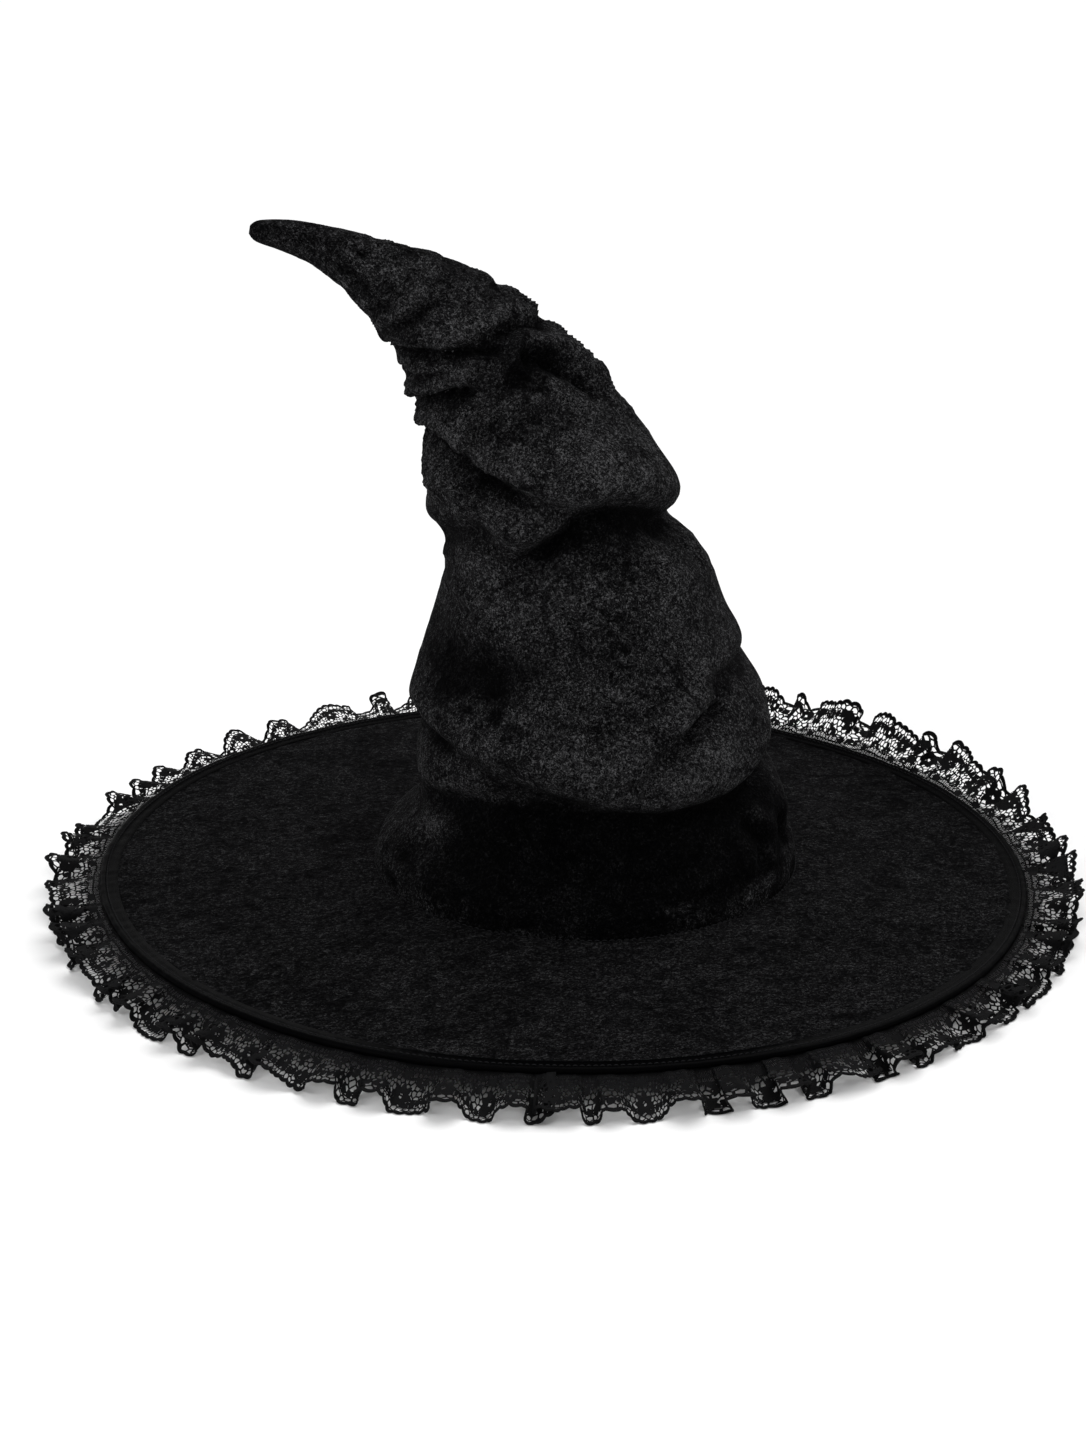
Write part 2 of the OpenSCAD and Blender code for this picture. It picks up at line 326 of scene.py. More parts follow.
# Satin: smooth and glossy, with fine slanting threads
def satin(name, colour, rough=0.34, threads=2600, gloss=0.16):
    material, start = newMaterial(name)
    place = restPlace(start)
    weave = place.add("TexWave", {"bands_direction": "DIAGONAL"}, {
        "Vector": place, "Scale": threads, "Distortion": 1.5, "Detail": 1.0, "Detail Scale": 2.0})
    cloud = place.noise(55, 3, 0.6)
    surface = start.add("BsdfPrincipled", None, {
        "Base Color": (0.25 * weave + 0.75 * cloud).colour(tuple(0.55 * c for c in colour), colour),
        "Roughness": rough + 0.18 * cloud,
        "Normal": start.add("Bump", None, {"Strength": 0.12, "Distance": 0.0004, "Height": weave}),
        "Specular IOR Level": gloss,
    })
    endMaterial(start, surface)
    return material


# Thread, cord and lace yarn: matte, with a fine twist
def yarn(name, colour, scale=1800):
    material, start = newMaterial(name)
    place = restPlace(start)
    twist = place.add("TexWave", {"bands_direction": "DIAGONAL"}, {
        "Vector": place, "Scale": scale, "Distortion": 2.0, "Detail": 2.0, "Detail Scale": 1.5})
    fuzz = place.noise(900, 3, 0.7)
    surface = start.add("BsdfPrincipled", None, {
        "Base Color": (0.5 * twist + 0.5 * fuzz).colour(tuple(0.4 * c for c in colour), colour),
        "Roughness": 0.62 + 0.2 * fuzz,
        "Normal": start.add("Bump", None, {"Strength": 0.3, "Distance": 0.0003, "Height": twist + fuzz}),
        "Specular IOR Level": 0.06,
    })
    endMaterial(start, surface)
    return material


# Felt, foam and fibre: soft, speckled and without any gloss
def fluff(name, dark, light, scale):
    material, start = newMaterial(name)
    place = objectPlace(start)
    grain = place.noise(scale, 5, 0.75, 0.6)
    cells = place.add("TexVoronoi", None, {"Vector": place, "Scale": scale * 1.4})
    surface = start.add("BsdfPrincipled", None, {
        "Base Color": grain.between(0.3, 0.7).colour(dark, light),
        "Roughness": 0.9 + 0.08 * grain,
        "Normal": start.add("Bump", None, {"Strength": 0.6, "Distance": 0.0008, "Height": grain + 0.5 * cells}),
        "Specular IOR Level": 0.08,
    })
    endMaterial(start, surface)
    return material


# Drawn steel wire: bright, with fine scratches round it
def drawnSteel(name):
    material, start = newMaterial(name)
    place = objectPlace(start)
    scratch = place.scaled((1, 1, 6)).noise(700, 4, 0.7)
    surface = start.add("BsdfPrincipled", None, {
        "Base Color": scratch.between(0.3, 0.7).colour((0.36, 0.36, 0.37), (0.58, 0.58, 0.6)),
        "Metallic": 1.0,
        "Roughness": 0.28 + 0.2 * scratch,
        "Normal": start.add("Bump", None, {"Strength": 0.15, "Distance": 0.0002, "Height": scratch}),
    })
    endMaterial(start, surface)
    return material


# Ribbed ribbon of the sweatband: ribs across its width, told by the angle round the head
def grosgrainRibbon(name):
    material, start = newMaterial(name)
    place = objectPlace(start)
    ribs = place.add("TexWave", {"bands_direction": "Z"}, {
        "Vector": place, "Scale": 260, "Distortion": 0.4, "Detail": 1.0})
    fuzz = place.noise(600, 3, 0.6)
    surface = start.add("BsdfPrincipled", None, {
        "Base Color": (0.7 * ribs + 0.3 * fuzz).colour((0.006, 0.006, 0.0065), (0.026, 0.026, 0.028)),
        "Roughness": 0.55 + 0.15 * fuzz,
        "Normal": start.add("Bump", None, {"Strength": 0.5, "Distance": 0.0005, "Height": ribs}),
        "Specular IOR Level": 0.1,
    })
    endMaterial(start, surface)
    return material


crownVelvet = crushedVelvet("crown crushed velvet")
brimVelvet = crushedVelvet("brim crushed velvet", (0.75, 1, 1), 0.4, 0.6, withPaintedShade=False, slant=-0.35)
underVelvet = crushedVelvet("under-brim crushed velvet", (0.5, 1, 1), 0.5, 0.5, withPaintedShade=False, slant=0.3)
bindingSatin = satin("binding satin", (0.001, 0.001, 0.0012), rough=0.25, gloss=0.012)
liningSatin = satin("lining satin", (0.02, 0.02, 0.022), rough=0.4)
laceYarn = yarn("lace yarn", (0.0055, 0.0055, 0.006))
sewingThread = yarn("sewing thread", (0.016, 0.016, 0.0175), 2600)
tapeCloth = yarn("heading tape cotton", (0.018, 0.018, 0.019), 1200)
felt = fluff("interlining felt", (0.02, 0.02, 0.021), (0.07, 0.07, 0.073), 420)
foamCells = fluff("brim foam", (0.05, 0.05, 0.052), (0.13, 0.13, 0.135), 800)
fibre = fluff("fibre stuffing", (0.5, 0.5, 0.48), (0.9, 0.9, 0.88), 260)
steel = drawnSteel("drawn steel")
ribbon = grosgrainRibbon("grosgrain ribbon")
print("materials made")


# The crown. Each row is a round section: offset towards +X from the crown's middle,
# height above the seam, radius, and lean towards -X in degrees.
crownRows = np.array([
    [0, 0, 102, 0],
    [1.5, 12.5, 100, 0],
    [6.5, 29.5, 90, 0],
    [4.5, 50.5, 84, 0],
    [2, 75.5, 80, 0],
    [-1, 93.5, 79, 2],
    [-4.5, 114.5, 73, 4],
    [-7.5, 145.5, 62.5, 8],
    [-14.5, 163.5, 53, 12],
    [-21, 184.5, 54, 14],
    [-26, 201.5, 50, 18],
    [-35.5, 221.5, 41.5, 27],
    [-52, 248.5, 34.5, 36],
    [-67.5, 266.5, 27, 45],
    [-83.5, 278.5, 21, 54],
    [-99, 288.5, 15, 60],
    [-117.5, 298, 10, 67],
    [-135.5, 304, 7.5, 76],
    [-149.5, 306.5, 5, 80],
    [-153.5, 307.2, 2, 80],
])
lastRow = len(crownRows) - 1
bends = {
    "crownRow": 10.5,  # the row that the crown bends at
    "tipRow": 13.5,
    "splitRow": 12.2,  # where the body's cloth ends and the point's begins
    "crownReach": 24,  # the reach on either side of the bend, in mm
    "tipReach": 15,
}
foot = {
    "spread": 9,  # the length of cloth that spreads onto the brim, in mm
    "above": 0.4 * mm,
    "slope": 0.9,
    "turned": -0.03,  # the raw edge is turned in by this share, and down
    "down": 0.8 * mm,
}


# Smooth curve through the rows
def rowAt(u):
    u = np.clip(np.asarray(u, float), 0, lastRow)
    i = np.minimum(u.astype(int), lastRow - 1)
    f = (u - i)[..., None]
    before = crownRows[np.maximum(i - 1, 0)]
    here, there = crownRows[i], crownRows[i + 1]
    after = crownRows[np.minimum(i + 2, lastRow)]
    slopeHere, slopeThere = (there - before) / 2, (after - here) / 2
    a = 2 * f ** 3 - 3 * f ** 2 + 1
    b = f ** 3 - 2 * f ** 2 + f
    c = -2 * f ** 3 + 3 * f ** 2
    return a * here + b * slopeHere + c * there + (f ** 3 - f ** 2) * slopeThere


fineRows = np.linspace(0, lastRow, 1901)
spine = rowAt(fineRows)
spineLength = np.concatenate([[0], np.cumsum(np.linalg.norm(np.diff(spine[:, :2], axis=0), axis=1))])


def lengthAt(u):
    return np.interp(u, fineRows, spineLength)


def rowOfLength(length):
    return np.interp(length, spineLength, fineRows)


# A crease is a hollow line where the cloth is scrunched, with the cloth above it hanging
# over: its points are (row, angle in degrees round the crown, where 270 faces the front),
# then its depth, its width, how far the cloth above stands out, and how far that hangs down,
# in mm.
creases = [
    # the roll round the foot and the hollow under it
    ([(2.5, 190), (2.95, 212), (3.3, 238), (3.25, 262), (3.0, 290), (3.05, 318), (3.3, 344), (3.3, 376)],
     8, 9, 7, 5),
    # the hollow at the left under the first puff
    ([(4.5, 174), (4.3, 196), (4.15, 214), (3.95, 236), (3.7, 256), (3.5, 274)], 7, 7, 5, 2),
    # the fold at the right that runs up to the outline
    ([(3.7, 280), (4.25, 295), (4.9, 312), (4.95, 326)], 7, 5, 5, 2),
    ([(5.2, 312), (5.5, 326), (5.42, 346), (5.3, 376)], 6, 6, 3, 2),
    # soft dents in the first puff
    ([(6.7, 178), (6.4, 205), (6.1, 232), (6.0, 252)], 4.5, 15, 1, 0),
    ([(7.15, 234), (7.05, 257), (6.75, 284)], 1.8, 4, 1, 0),
    ([(7.5, 262), (7.6, 287), (7.25, 310)], 2.5, 6, 1.5, 0),
    ([(7.3, 190), (7.0, 208), (6.9, 226)], 2.5, 5, 1, 0),
    # under the second puff, round the right
    ([(8.0, 246), (8.45, 266), (8.85, 286), (8.95, 304), (8.45, 324), (8.05, 342), (7.85, 372)], 9, 8, 7, 4),
    ([(8.2, 322), (7.6, 336), (6.9, 343)], 3, 6, 1, 0),
    # the long slanting fold across the second puff
    ([(11.8, 176), (11.6, 198), (11.45, 214), (10.9, 231), (10.35, 246), (9.8, 263), (9.3, 286), (9.05, 302)],
     10, 6, 6, 2),
    # where the small puff at the left sits on the first one
    ([(8.6, 168), (8.7, 188), (8.78, 205), (9.0, 228), (8.8, 252)], 7, 7, 1, 0),
    # folds of the neck under the tip
    ([(12.05, 176), (12.1, 208), (11.95, 240), (11.75, 270)], 7.5, 3.6, 1.8, 0.8),
    ([(12.8, 176), (12.66, 208), (12.4, 236), (12.2, 256)], 5.5, 3.2, 1.4, 0.5),
    ([(13.5, 176), (13.4, 204), (12.9, 240), (12.5, 264), (12.1, 292), (11.95, 310)], 7.5, 3.8, 2.4, 1),
    ([(14.0, 190), (13.8, 226), (13.55, 262), (13.45, 302)], 5, 3.2, 1.6, 0.5),
    ([(12.8, 252), (12.4, 292), (12.1, 326), (11.85, 345), (11.9, 376)], 6, 4.5, 3.5, 2),
    ([(11.1, 232), (11.15, 250), (11.35, 272)], 4.5, 4, 2.5, 1),
    # the lobe at the right of the neck
    ([(11.85, 306), (11.6, 322), (11.15, 334), (10.6, 342)], 8, 5, 4, 0),
    ([(11.0, 262), (11.1, 284), (10.9, 304)], 3, 4, 1.5, 0),
    # small folds at the foot
    ([(2.6, 262), (2.0, 270), (1.3, 268)], 3, 5, 2, 0),
    ([(1.3, 276), (1.7, 292), (2.2, 304)], 3, 5, 2, 0),
    ([(0.9, 286), (1.1, 310), (1.0, 334)], 2.5, 5, 1.5, 0),
    ([(1.2, 196), (1.7, 214), (1.6, 240)], 3, 6, 2, 0),
    ([(2.6, 318), (1.9, 326), (1.2, 324)], 3.5, 5, 2.5, 0),
    ([(2.2, 340), (1.5, 346), (1.0, 352)], 3, 5, 2, 0),
    # the back
    ([(3.3, 376), (3.0, 404), (2.5, 430), (2.2, 462), (2.3, 500), (2.5, 550)], 8, 9, 6, 4),
    ([(4.7, 376), (4.9, 404), (4.6, 436), (4.2, 470), (4.3, 505), (4.4, 536)], 6, 8, 4, 2),
    ([(6.1, 380), (6.3, 420), (6.9, 462), (7.0, 500)], 4, 10, 2, 1),
    ([(7.85, 372), (8.1, 400), (8.8, 436), (8.9, 470), (8.5, 505), (8.3, 536)], 8, 7, 5, 4),
    ([(9.9, 384), (10.2, 420), (10.6, 456), (11.0, 500), (11.3, 540)], 8, 6, 4, 2),
    ([(11.9, 372), (12.0, 410), (11.6, 450), (11.9, 500), (12.0, 536)], 5.5, 4.5, 3, 1.5),
    ([(13.2, 380), (12.9, 430), (13.1, 480), (13.4, 540)], 5, 4.5, 2, 1),
    ([(5.3, 372), (5.6, 400), (5.8, 425)], 3, 6, 2, 0),
    ([(1.4, 380), (1.2, 415), (1.7, 450), (1.3, 490)], 3, 6, 2, 0),
    # folds on the outer side of the bend, and along the tip
    ([(13.0, 300), (12.7, 326), (12.6, 350), (12.7, 376)], 3.5, 4, 1.2, 0.3),
    ([(13.7, 306), (13.5, 334), (13.6, 362), (13.8, 384)], 3, 3.5, 1, 0.3),
    ([(14.5, 300), (14.4, 330), (14.5, 362), (14.6, 384)], 3, 3.5, 0.8, 0.3),
    ([(15.4, 292), (15.3, 325), (15.4, 366)], 3.5, 3, 1.2, 0.5),
    ([(14.6, 200), (14.4, 232), (14.15, 262)], 4.5, 3.5, 2, 1),
    ([(15.2, 196), (15.05, 226), (15.0, 250)], 3.5, 3, 1.5, 0.5),
    ([(14.3, 240), (15.0, 256), (15.9, 262)], 2.2, 3, 1, 0),
    ([(14.6, 286), (15.4, 300), (16.4, 304)], 1.8, 3, 0.8, 0),
    ([(14.3, 196), (15.0, 204), (15.8, 200)], 1.8, 3, 0.8, 0),
    ([(15.6, 214), (16.2, 240), (16.4, 270)], 1.4, 2.2, 0.7, 0),
    ([(14.1, 396), (15.4, 420), (16.6, 424)], 1.8, 3, 0.8, 0),
]
# A puff is cloth pushed out from inside: row, angle, height, and reach up and round, in mm
puffs = [
    (4.3, 225, 4, 13, 45), (4.0, 285, 4, 12, 45), (4.4, 350, 1.5, 12, 26), (2.5, 354, 1, 10, 26),
    (3.15, 216, 5, 7, 24), (5.6, 285, 4, 30, 60), (9.2, 335, 5, 22, 34), (10.7, 208, 6, 12, 26),
    (9.6, 300, 3, 14, 40), (11.2, 350, 5, 16, 16), (2.2, 262, -5, 16, 70), (11.6, 298, -4, 6, 9),
    (7.2, 300, 3, 22, 50), (4.4, 395, 5, 16, 40), (5.9, 455, 4, 22, 60), (9.4, 450, 4, 18, 50),
    (12.6, 240, 2.5, 9, 22), (13.9, 300, 2, 10, 14), (1.4, 352, -4, 12, 30), (10.9, 258, -4, 5, 9),
]
# Painted light and shade on the crown's pile, set as brushed pile: patches of painted shade (below 0) and
# painted light (above 0), given as row, angle, change, and reach up and round in mm
paintedShadePatches = [
    (1.7, 232, -0.9, 22, 46), (1.9, 268, -0.95, 26, 50), (2.0, 308, -0.9, 24, 50), (2.2, 342, -0.6, 18, 26),
    (0.6, 318, 0.4, 4, 14), (0.9, 296, 0.5, 4, 12), (2.1, 206, 0.9, 7, 18), (1.6, 218, 0.4, 5, 12),
    (3.4, 232, 0.6, 7, 26), (3.35, 270, 0.6, 6, 50), (3.5, 308, 0.5, 7, 30), (3.3, 344, 0.4, 6, 14),
    (4.05, 212, -0.9, 8, 30), (5.9, 226, -0.75, 9, 30), (5.3, 214, -0.6, 10, 18), (3.35, 222, 0.5, 4, 22),
    (6.4, 250, -0.3, 12, 40), (4.6, 286, 0.2, 10, 40),
    (3.95, 318, 0.4, 9, 20), (4.4, 330, -0.35, 8, 20), (6.7, 225, 0.35, 10, 30), (8.2, 300, -0.85, 12, 34),
    (8.5, 322, -0.7, 8, 20), (7.1, 262, 0.55, 7, 40), (6.4, 272, -0.25, 10, 24), (7.9, 225, 0.35, 14, 24),
    (10.1, 216, 0.5, 12, 22), (10.3, 247, -0.45, 6, 22), (9.9, 300, 0.4, 18, 30), (9.2, 262, 0.5, 5, 24),
    (11.6, 300, -0.6, 7, 12), (12.5, 300, 0.4, 6, 22), (11.6, 334, -0.6, 6, 9), (13.0, 250, 0.35, 5, 14),
    (14.4, 280, 0.35, 12, 16), (13.35, 236, -0.3, 4, 14), (11.8, 236, -0.4, 4, 12), (12.2, 258, 0.35, 3, 12),
]
scrunch = {
    "amount": 1.4,  # height of the small folds between the large ones, in mm
    "along": 10,  # their size along the crown and round it, in mm
    "round": 30,
    "neck": 1.5,  # how much more the neck has of them
}


# How far each point of the cloth lies round and up from the spot at this row and angle
def fromSpot(u, a, length, angle, radius):
    return np.radians((angle - a + 180) % 360 - 180) * radius, length - lengthAt(u)


def foldField(length, angle, radius):
    out, down = np.zeros_like(length), np.zeros_like(length)
    for points, depth, width, lip, hang in creases:
        places = [(lengthAt(u), a) for u, a in points]
        best = np.full(length.shape, 1e9)
        signed, along = np.zeros_like(length), np.zeros_like(length)
        count = len(places) - 1
        for i, ((s0, a0), (s1, a1)) in enumerate(zip(places, places[1:])):
            middle = (a0 + a1) / 2
            turn = (angle - middle + 180) % 360 - 180 + middle
            x, y = np.radians(turn - a0) * radius, length - s0
            dx, dy = np.radians(a1 - a0) * radius, s1 - s0
            size = np.maximum(dx * dx + dy * dy, 1e-9)
            t = np.clip((x * dx + y * dy) / size, 0, 1)
            far = np.hypot(x - t * dx, y - t * dy)
            above = np.sign((y - t * dy) * dx - (x - t * dx) * dy + 1e-12)
            nearer = far < best
            best = np.where(nearer, far, best)
            signed = np.where(nearer, far * above, signed)
            along = np.where(nearer, (i + t) / count, along)
        fade = smooth(along / 0.18) * smooth((1 - along) / 0.18) * 0.9 + 0.1
        fade = fade * np.exp(-(np.maximum(best - 4 * width, 0) / width) ** 2)
        valley = np.exp(-(best / width) ** 1.8)
        over = np.exp(-((signed - 1.8 * width) / (1.4 * width)) ** 2)
        under = np.exp(-((signed + 2.0 * width) / (1.4 * width)) ** 2)
        out += fade * (-depth * valley + lip * over + 0.25 * lip * under)
        down += fade * hang * np.exp(-((signed - 1.4 * width) / (1.2 * width)) ** 2)
    for u, a, height, reachUp, reachRound in puffs:
        x, y = fromSpot(u, a, length, angle, radius)
        out += height * np.exp(-(x / reachRound) ** 2 - (y / reachUp) ** 2)
    return out, down


# Painted light and shade on the crown's pile: painted shade in the hollows, painted light on the ridges, and
# the painted patches above
def paintedShadeField(rows, angles):
    row, angle = np.meshgrid(rows, angles, indexing="ij")
    radius, length = rowAt(row)[..., 2], lengthAt(row)
    out, _ = foldField(length, angle, radius)
    paintedShade = 0.82 + 0.1 * np.clip(out, -9, 6)
    turn = np.radians(angle)
    spot = np.stack([7 * np.cos(turn), 7 * np.sin(turn), length / 9], -1)
    ragged = np.maximum(1 + 0.9 * softNoise(spot * 0.6, 41) + 0.9 * softNoise(spot * 1.7, 42), 0.25)
    for u, a, change, reachUp, reachRound in paintedShadePatches:
        x, y = fromSpot(u, a, length, angle, radius)
        paintedShade += change * np.exp(-((x / reachRound) ** 2 + (y / reachUp) ** 2) * ragged)
    # painted shade in the hollows of the neck's tight folds
    paintedShade += 0.07 * smooth((row - 10.6) / 1.0) * np.clip(out, -7, 4)
    return np.clip(paintedShade, 0.12, 1.8)


# Small scrunched folds, which run round the crown and slant where the large ones do
def scrunchField(length, angle, radius, row):
    x, y = np.cos(np.radians(angle)), np.sin(np.radians(angle))
    around = 2 * math.pi * 70 / scrunch["round"]
    spot = np.stack([x * around / 6.28, y * around / 6.28, length / scrunch["along"]], -1)
    swirl = np.stack([x * 1.6, y * 1.6, length / 45], -1)
    spot[..., 2] += 1.8 * softNoise(swirl, 11)
    spot[..., 0] += 0.8 * softNoise(swirl * 1.7, 12)
    big = softNoise(spot, 21)
    small = softNoise(spot * 2.3, 22)
    folds = (1 - np.abs(big) * 2) * 0.75 + 0.35 * small
    where = 0.45 + 0.55 * smooth(0.5 + 1.2 * softNoise(swirl * 1.3, 31))
    neck = smooth((row - 9.4) / 1.6) * (1 - 0.35 * smooth((row - 14.2) / 2))
    sharp = 1 - np.abs(softNoise(spot * [1.4, 1.4, 1.7] + 7, 23)) * 3.2
    crisp = np.maximum(sharp, 0) ** 1.5
    return folds * where * (0.55 + 0.5 * neck) + scrunch["neck"] * neck * (crisp - 0.3)


def crownSurface(rows, angles, inset=0.0, wrinkled=True):
    row, angle = np.meshgrid(rows, angles, indexing="ij")
    state = rowAt(row)
    radius, lean = state[..., 2], np.radians(state[..., 3])
    length = lengthAt(row)
    if wrinkled:
        out, down = foldField(length, angle, radius)
        out += scrunch["amount"] * scrunchField(length, angle, radius, row)
        steady = smooth(length / 16) * smooth((lengthAt(lastRow) - length) / 40)
        slim = np.minimum(1, radius / 30)
        out, down = out * steady * slim, down * steady * slim
    else:
        out, down = np.zeros_like(length), np.zeros_like(length)
    wide = np.maximum(radius + out - inset, 0.3)
    turn = np.radians(angle)
    across, deep = wide * np.cos(turn), wide * np.sin(turn)
    x = crownX / mm + state[..., 0] + across * np.cos(lean) + down * np.sin(lean)
    z = seamHeight / mm + state[..., 1] + across * np.sin(lean) - down * np.cos(lean)
    return np.stack([x, deep, z], -1) * mm


def normalsOf(grid):
    along = np.gradient(grid, axis=0)
    around = np.roll(grid, -1, axis=1) - np.roll(grid, 1, axis=1)
    normal = np.cross(around, along)
    return normal / np.maximum(np.linalg.norm(normal, axis=-1, keepdims=True), 1e-12)


crownMesh = {
    "step": 1.25,  # mm between rows
    "columns": 360,
}
crownAngles = np.arange(crownMesh["columns"]) * 360 / crownMesh["columns"]
totalLength = lengthAt(lastRow)
rowLengths = np.arange(0, totalLength + 1e-6, totalLength / round(totalLength / crownMesh["step"]))
crownRowsFine = rowOfLength(rowLengths)
crownGrid = crownSurface(crownRowsFine, crownAngles)


# The foot spreads onto the brim, and its raw edge is turned under
def setFoot(grid):
    lowest = brimTop(grid[..., 0], grid[..., 1]) + foot["above"]
    near = 1 - smooth(rowLengths / foot["spread"])[:, None]
    grid[..., 2] = grid[..., 2] * (1 - near) + (lowest + rowLengths[:, None] * mm * foot["slope"]) * near
    grid[..., 2] = np.maximum(grid[..., 2], lowest)
    return grid


crownGrid = setFoot(crownGrid)
crownNormals = normalsOf(crownGrid)
# painted light and shade for each point of the crown velvet, from its folds and the listed patches
crownPaintedShade = paintedShadeField(crownRowsFine, crownAngles)
splitAt = int(np.searchsorted(crownRowsFine, bends["splitRow"]))


# A grid whose last row closes in a point
def pointedEnd(grid, name):
    rows, columns = grid.shape[:2]
    points = np.vstack([grid.reshape(-1, 3), grid[-1].mean(0)[None]])
    faces = [tuple(f) for f in gridFaces(rows, columns)]
    last = (rows - 1) * columns
    mesh = bpy.data.meshes.new(name)
    faces += [(last + k, last + (k + 1) % columns, rows * columns) for k in range(columns)]
    mesh.from_pydata(points.tolist(), [], faces)
    mesh.polygons.foreach_set("use_smooth", np.ones(len(mesh.polygons), bool))
    mesh.update()
    return keepPlace(mesh, points)


hem = crownGrid[:1] + (crownGrid[:1] - crownGrid[:1].mean(1, keepdims=True)) * foot["turned"]
hem[..., 2] -= foot["down"]
lowerGrid = np.concatenate([hem, crownGrid[:splitAt + 1]])
crownLower = gridPiece("crown_velvet_body", lowerGrid)
setPaintedShade(crownLower, np.concatenate([crownPaintedShade[:1], crownPaintedShade[:splitAt + 1]]))
finishPiece(crownLower, crownVelvet, ["crown_velvet_lower", "crown_velvet_middle"])
crownTip = pointedEnd(crownGrid[splitAt:], "crown_velvet_point")
setPaintedShade(crownTip, np.append(crownPaintedShade[splitAt:].ravel(), crownPaintedShade[-1].mean()))
finishPiece(crownTip, crownVelvet, ["crown_velvet_tip"])


# Both pieces take the whole crown's normals along the line where they meet
def shareNormals(piece, grid, normals, place):
    mesh = piece.data
    own = np.zeros(len(mesh.vertices) * 3, np.float32)
    mesh.vertices.foreach_get("normal", own)
    own = own.reshape(-1, 3)
    columns = grid.shape[1]
    own[place * columns:(place + 1) * columns] = normals
    mesh.normals_split_custom_set_from_vertices(own.tolist())


shareNormals(crownLower, lowerGrid, crownNormals[splitAt], len(lowerGrid) - 1)
shareNormals(crownTip, crownGrid[splitAt:], crownNormals[splitAt], 0)
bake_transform(crownLower)
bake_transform(crownTip)
print("crown made")


under = {
    "interlining": 0.8 * mm,  # the least depth under the velvet, at the bottom of a fold too
    "wad": 4.0 * mm,
    "interliningStep": 0.97,  # how far a point that is too high is drawn in at a time
    "wadStep": 0.9,
}
wads = {
    "rows": 30,
    "turn": 7.5,  # degrees between columns
    "inset": 13,  # from the velvet, in mm
    "tipInset": 8,  # where the crown is narrow
    "lumps": 0.05,
}
crownSkin = BVHTree.FromPolygons(crownGrid.reshape(-1, 3).tolist(), gridFaces(*crownGrid.shape[:2]).tolist())


def depthUnder(point):
    nearest, outward, _, _ = crownSkin.find_nearest(point.tolist())
    return -np.dot(point - np.array(nearest), np.array(outward))


# Draws the points of each ring in towards its middle until they all lie this deep under the velvet
def keepUnder(grid, depth, step):
    middle = grid.mean(1, keepdims=True)
    for _ in range(24):
        shallow = np.array([[depthUnder(point) < depth for point in ring] for ring in grid])
        if not shallow.any():
            break
        beside = shallow | np.roll(shallow, 1, 1) | np.roll(shallow, -1, 1)
        beside[1:] |= shallow[:-1]
        beside[:-1] |= shallow[1:]
        grid = np.where(beside[..., None], middle + (grid - middle) * step, grid)
    return grid


# The interlining lies inside the velvet and follows its folds
def innerGrid(depth, first, last):
    grid = crownGrid - crownNormals * depth
    return keepUnder(grid[first:last][::2, ::3], under["interlining"],
                     under["interliningStep"])


interlining = gridPiece("crown_interlining_body", innerGrid(2.2 * mm, 4, splitAt + 1))
finishPiece(interlining, felt, ["crown_interlining_lower", "crown_interlining_middle"])
tipEnd = int(np.searchsorted(crownRowsFine, 17.4))
interliningTip = gridPiece("crown_interlining_point", innerGrid(1.8 * mm, splitAt, tipEnd))
finishPiece(interliningTip, felt, ["crown_interlining_tip"])
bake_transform(interlining)
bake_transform(interliningTip)


def wad(name, first, last, body, node):
    inset = wads["inset"] if last < bends["splitRow"] else wads["tipInset"]
    rows = np.linspace(first, last, wads["rows"])
    grid = crownSurface(rows, np.arange(0, 360, wads["turn"]), inset=inset, wrinkled=False)
    middle = grid.mean(1, keepdims=True)
    share = np.linspace(0, 1, wads["rows"])
    full = np.sqrt(np.clip(1 - (2 * share - 1) ** 4, 0.0, 1))[:, None, None]
    lumps = 1 + wads["lumps"] * softNoise(grid / (12 * mm), 51)[..., None]
    grid = middle + (grid - middle) * np.maximum(full, 0.02) * lumps
    grid = keepUnder(grid, under["wad"], under["wadStep"])
    piece = pointedEnd(grid, name)
    finishPiece(piece, fibre, [node])
    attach(piece, body)


wad("fibre_wad_lower", 6.9, 10.35, "hat_base", "stuffing_lower")
wad("fibre_wad_middle", 10.65, 13.35, "crown_upper", "stuffing_middle")
wad("fibre_wad_tip", 13.65, 15.8, "crown_tip", "stuffing_tip")


# The lining: a closed pocket, a little loose
pocketCut = {
    "span": (0.35, 6.6),  # the rows of the crown that it reaches between
    "rows": 60,
    "turn": 2.5,  # degrees between columns
    "inset": 11.5,  # from the velvet, in mm
    "loose": 1.4 * mm,
    "mouthGap": 1.6 * mm,  # outside the head opening
    "dome": 4 * mm,
    "domeRings": 14,
}
liningAngles = np.arange(0, 360, pocketCut["turn"])
liningTurns = np.radians(liningAngles)
rowShare = np.linspace(0, 1, pocketCut["rows"])
pocket = crownSurface(np.linspace(*pocketCut["span"], pocketCut["rows"]), liningAngles,
                      inset=pocketCut["inset"], wrinkled=False)
pocketMiddle = pocket.mean(1, keepdims=True)
ripples = softNoise(pocket / (np.array([25, 25, 60]) * mm), 61)
pocket += normalsOf(pocket) * (pocketCut["loose"] * ripples)[..., None]
mouth = smooth(rowShare * 5)[:, None, None]
mouthRadius = headRadius + pocketCut["mouthGap"]
mouthRing = np.stack([crownX + mouthRadius * np.cos(liningTurns), mouthRadius * np.sin(liningTurns),
                      np.full(len(liningTurns), sweatHigh[2] - 1 * mm)], -1)
pocket[..., :2] = pocket[..., :2] * mouth + mouthRing[None, :, :2] * (1 - mouth)
mouthRise = rowShare[:, None] * 20 * mm * (1 - mouth[..., 0])
pocket[..., 2] = np.maximum(pocket[..., 2], mouthRing[0, 2] + mouthRise)
pocket[0] = mouthRing
dome = []
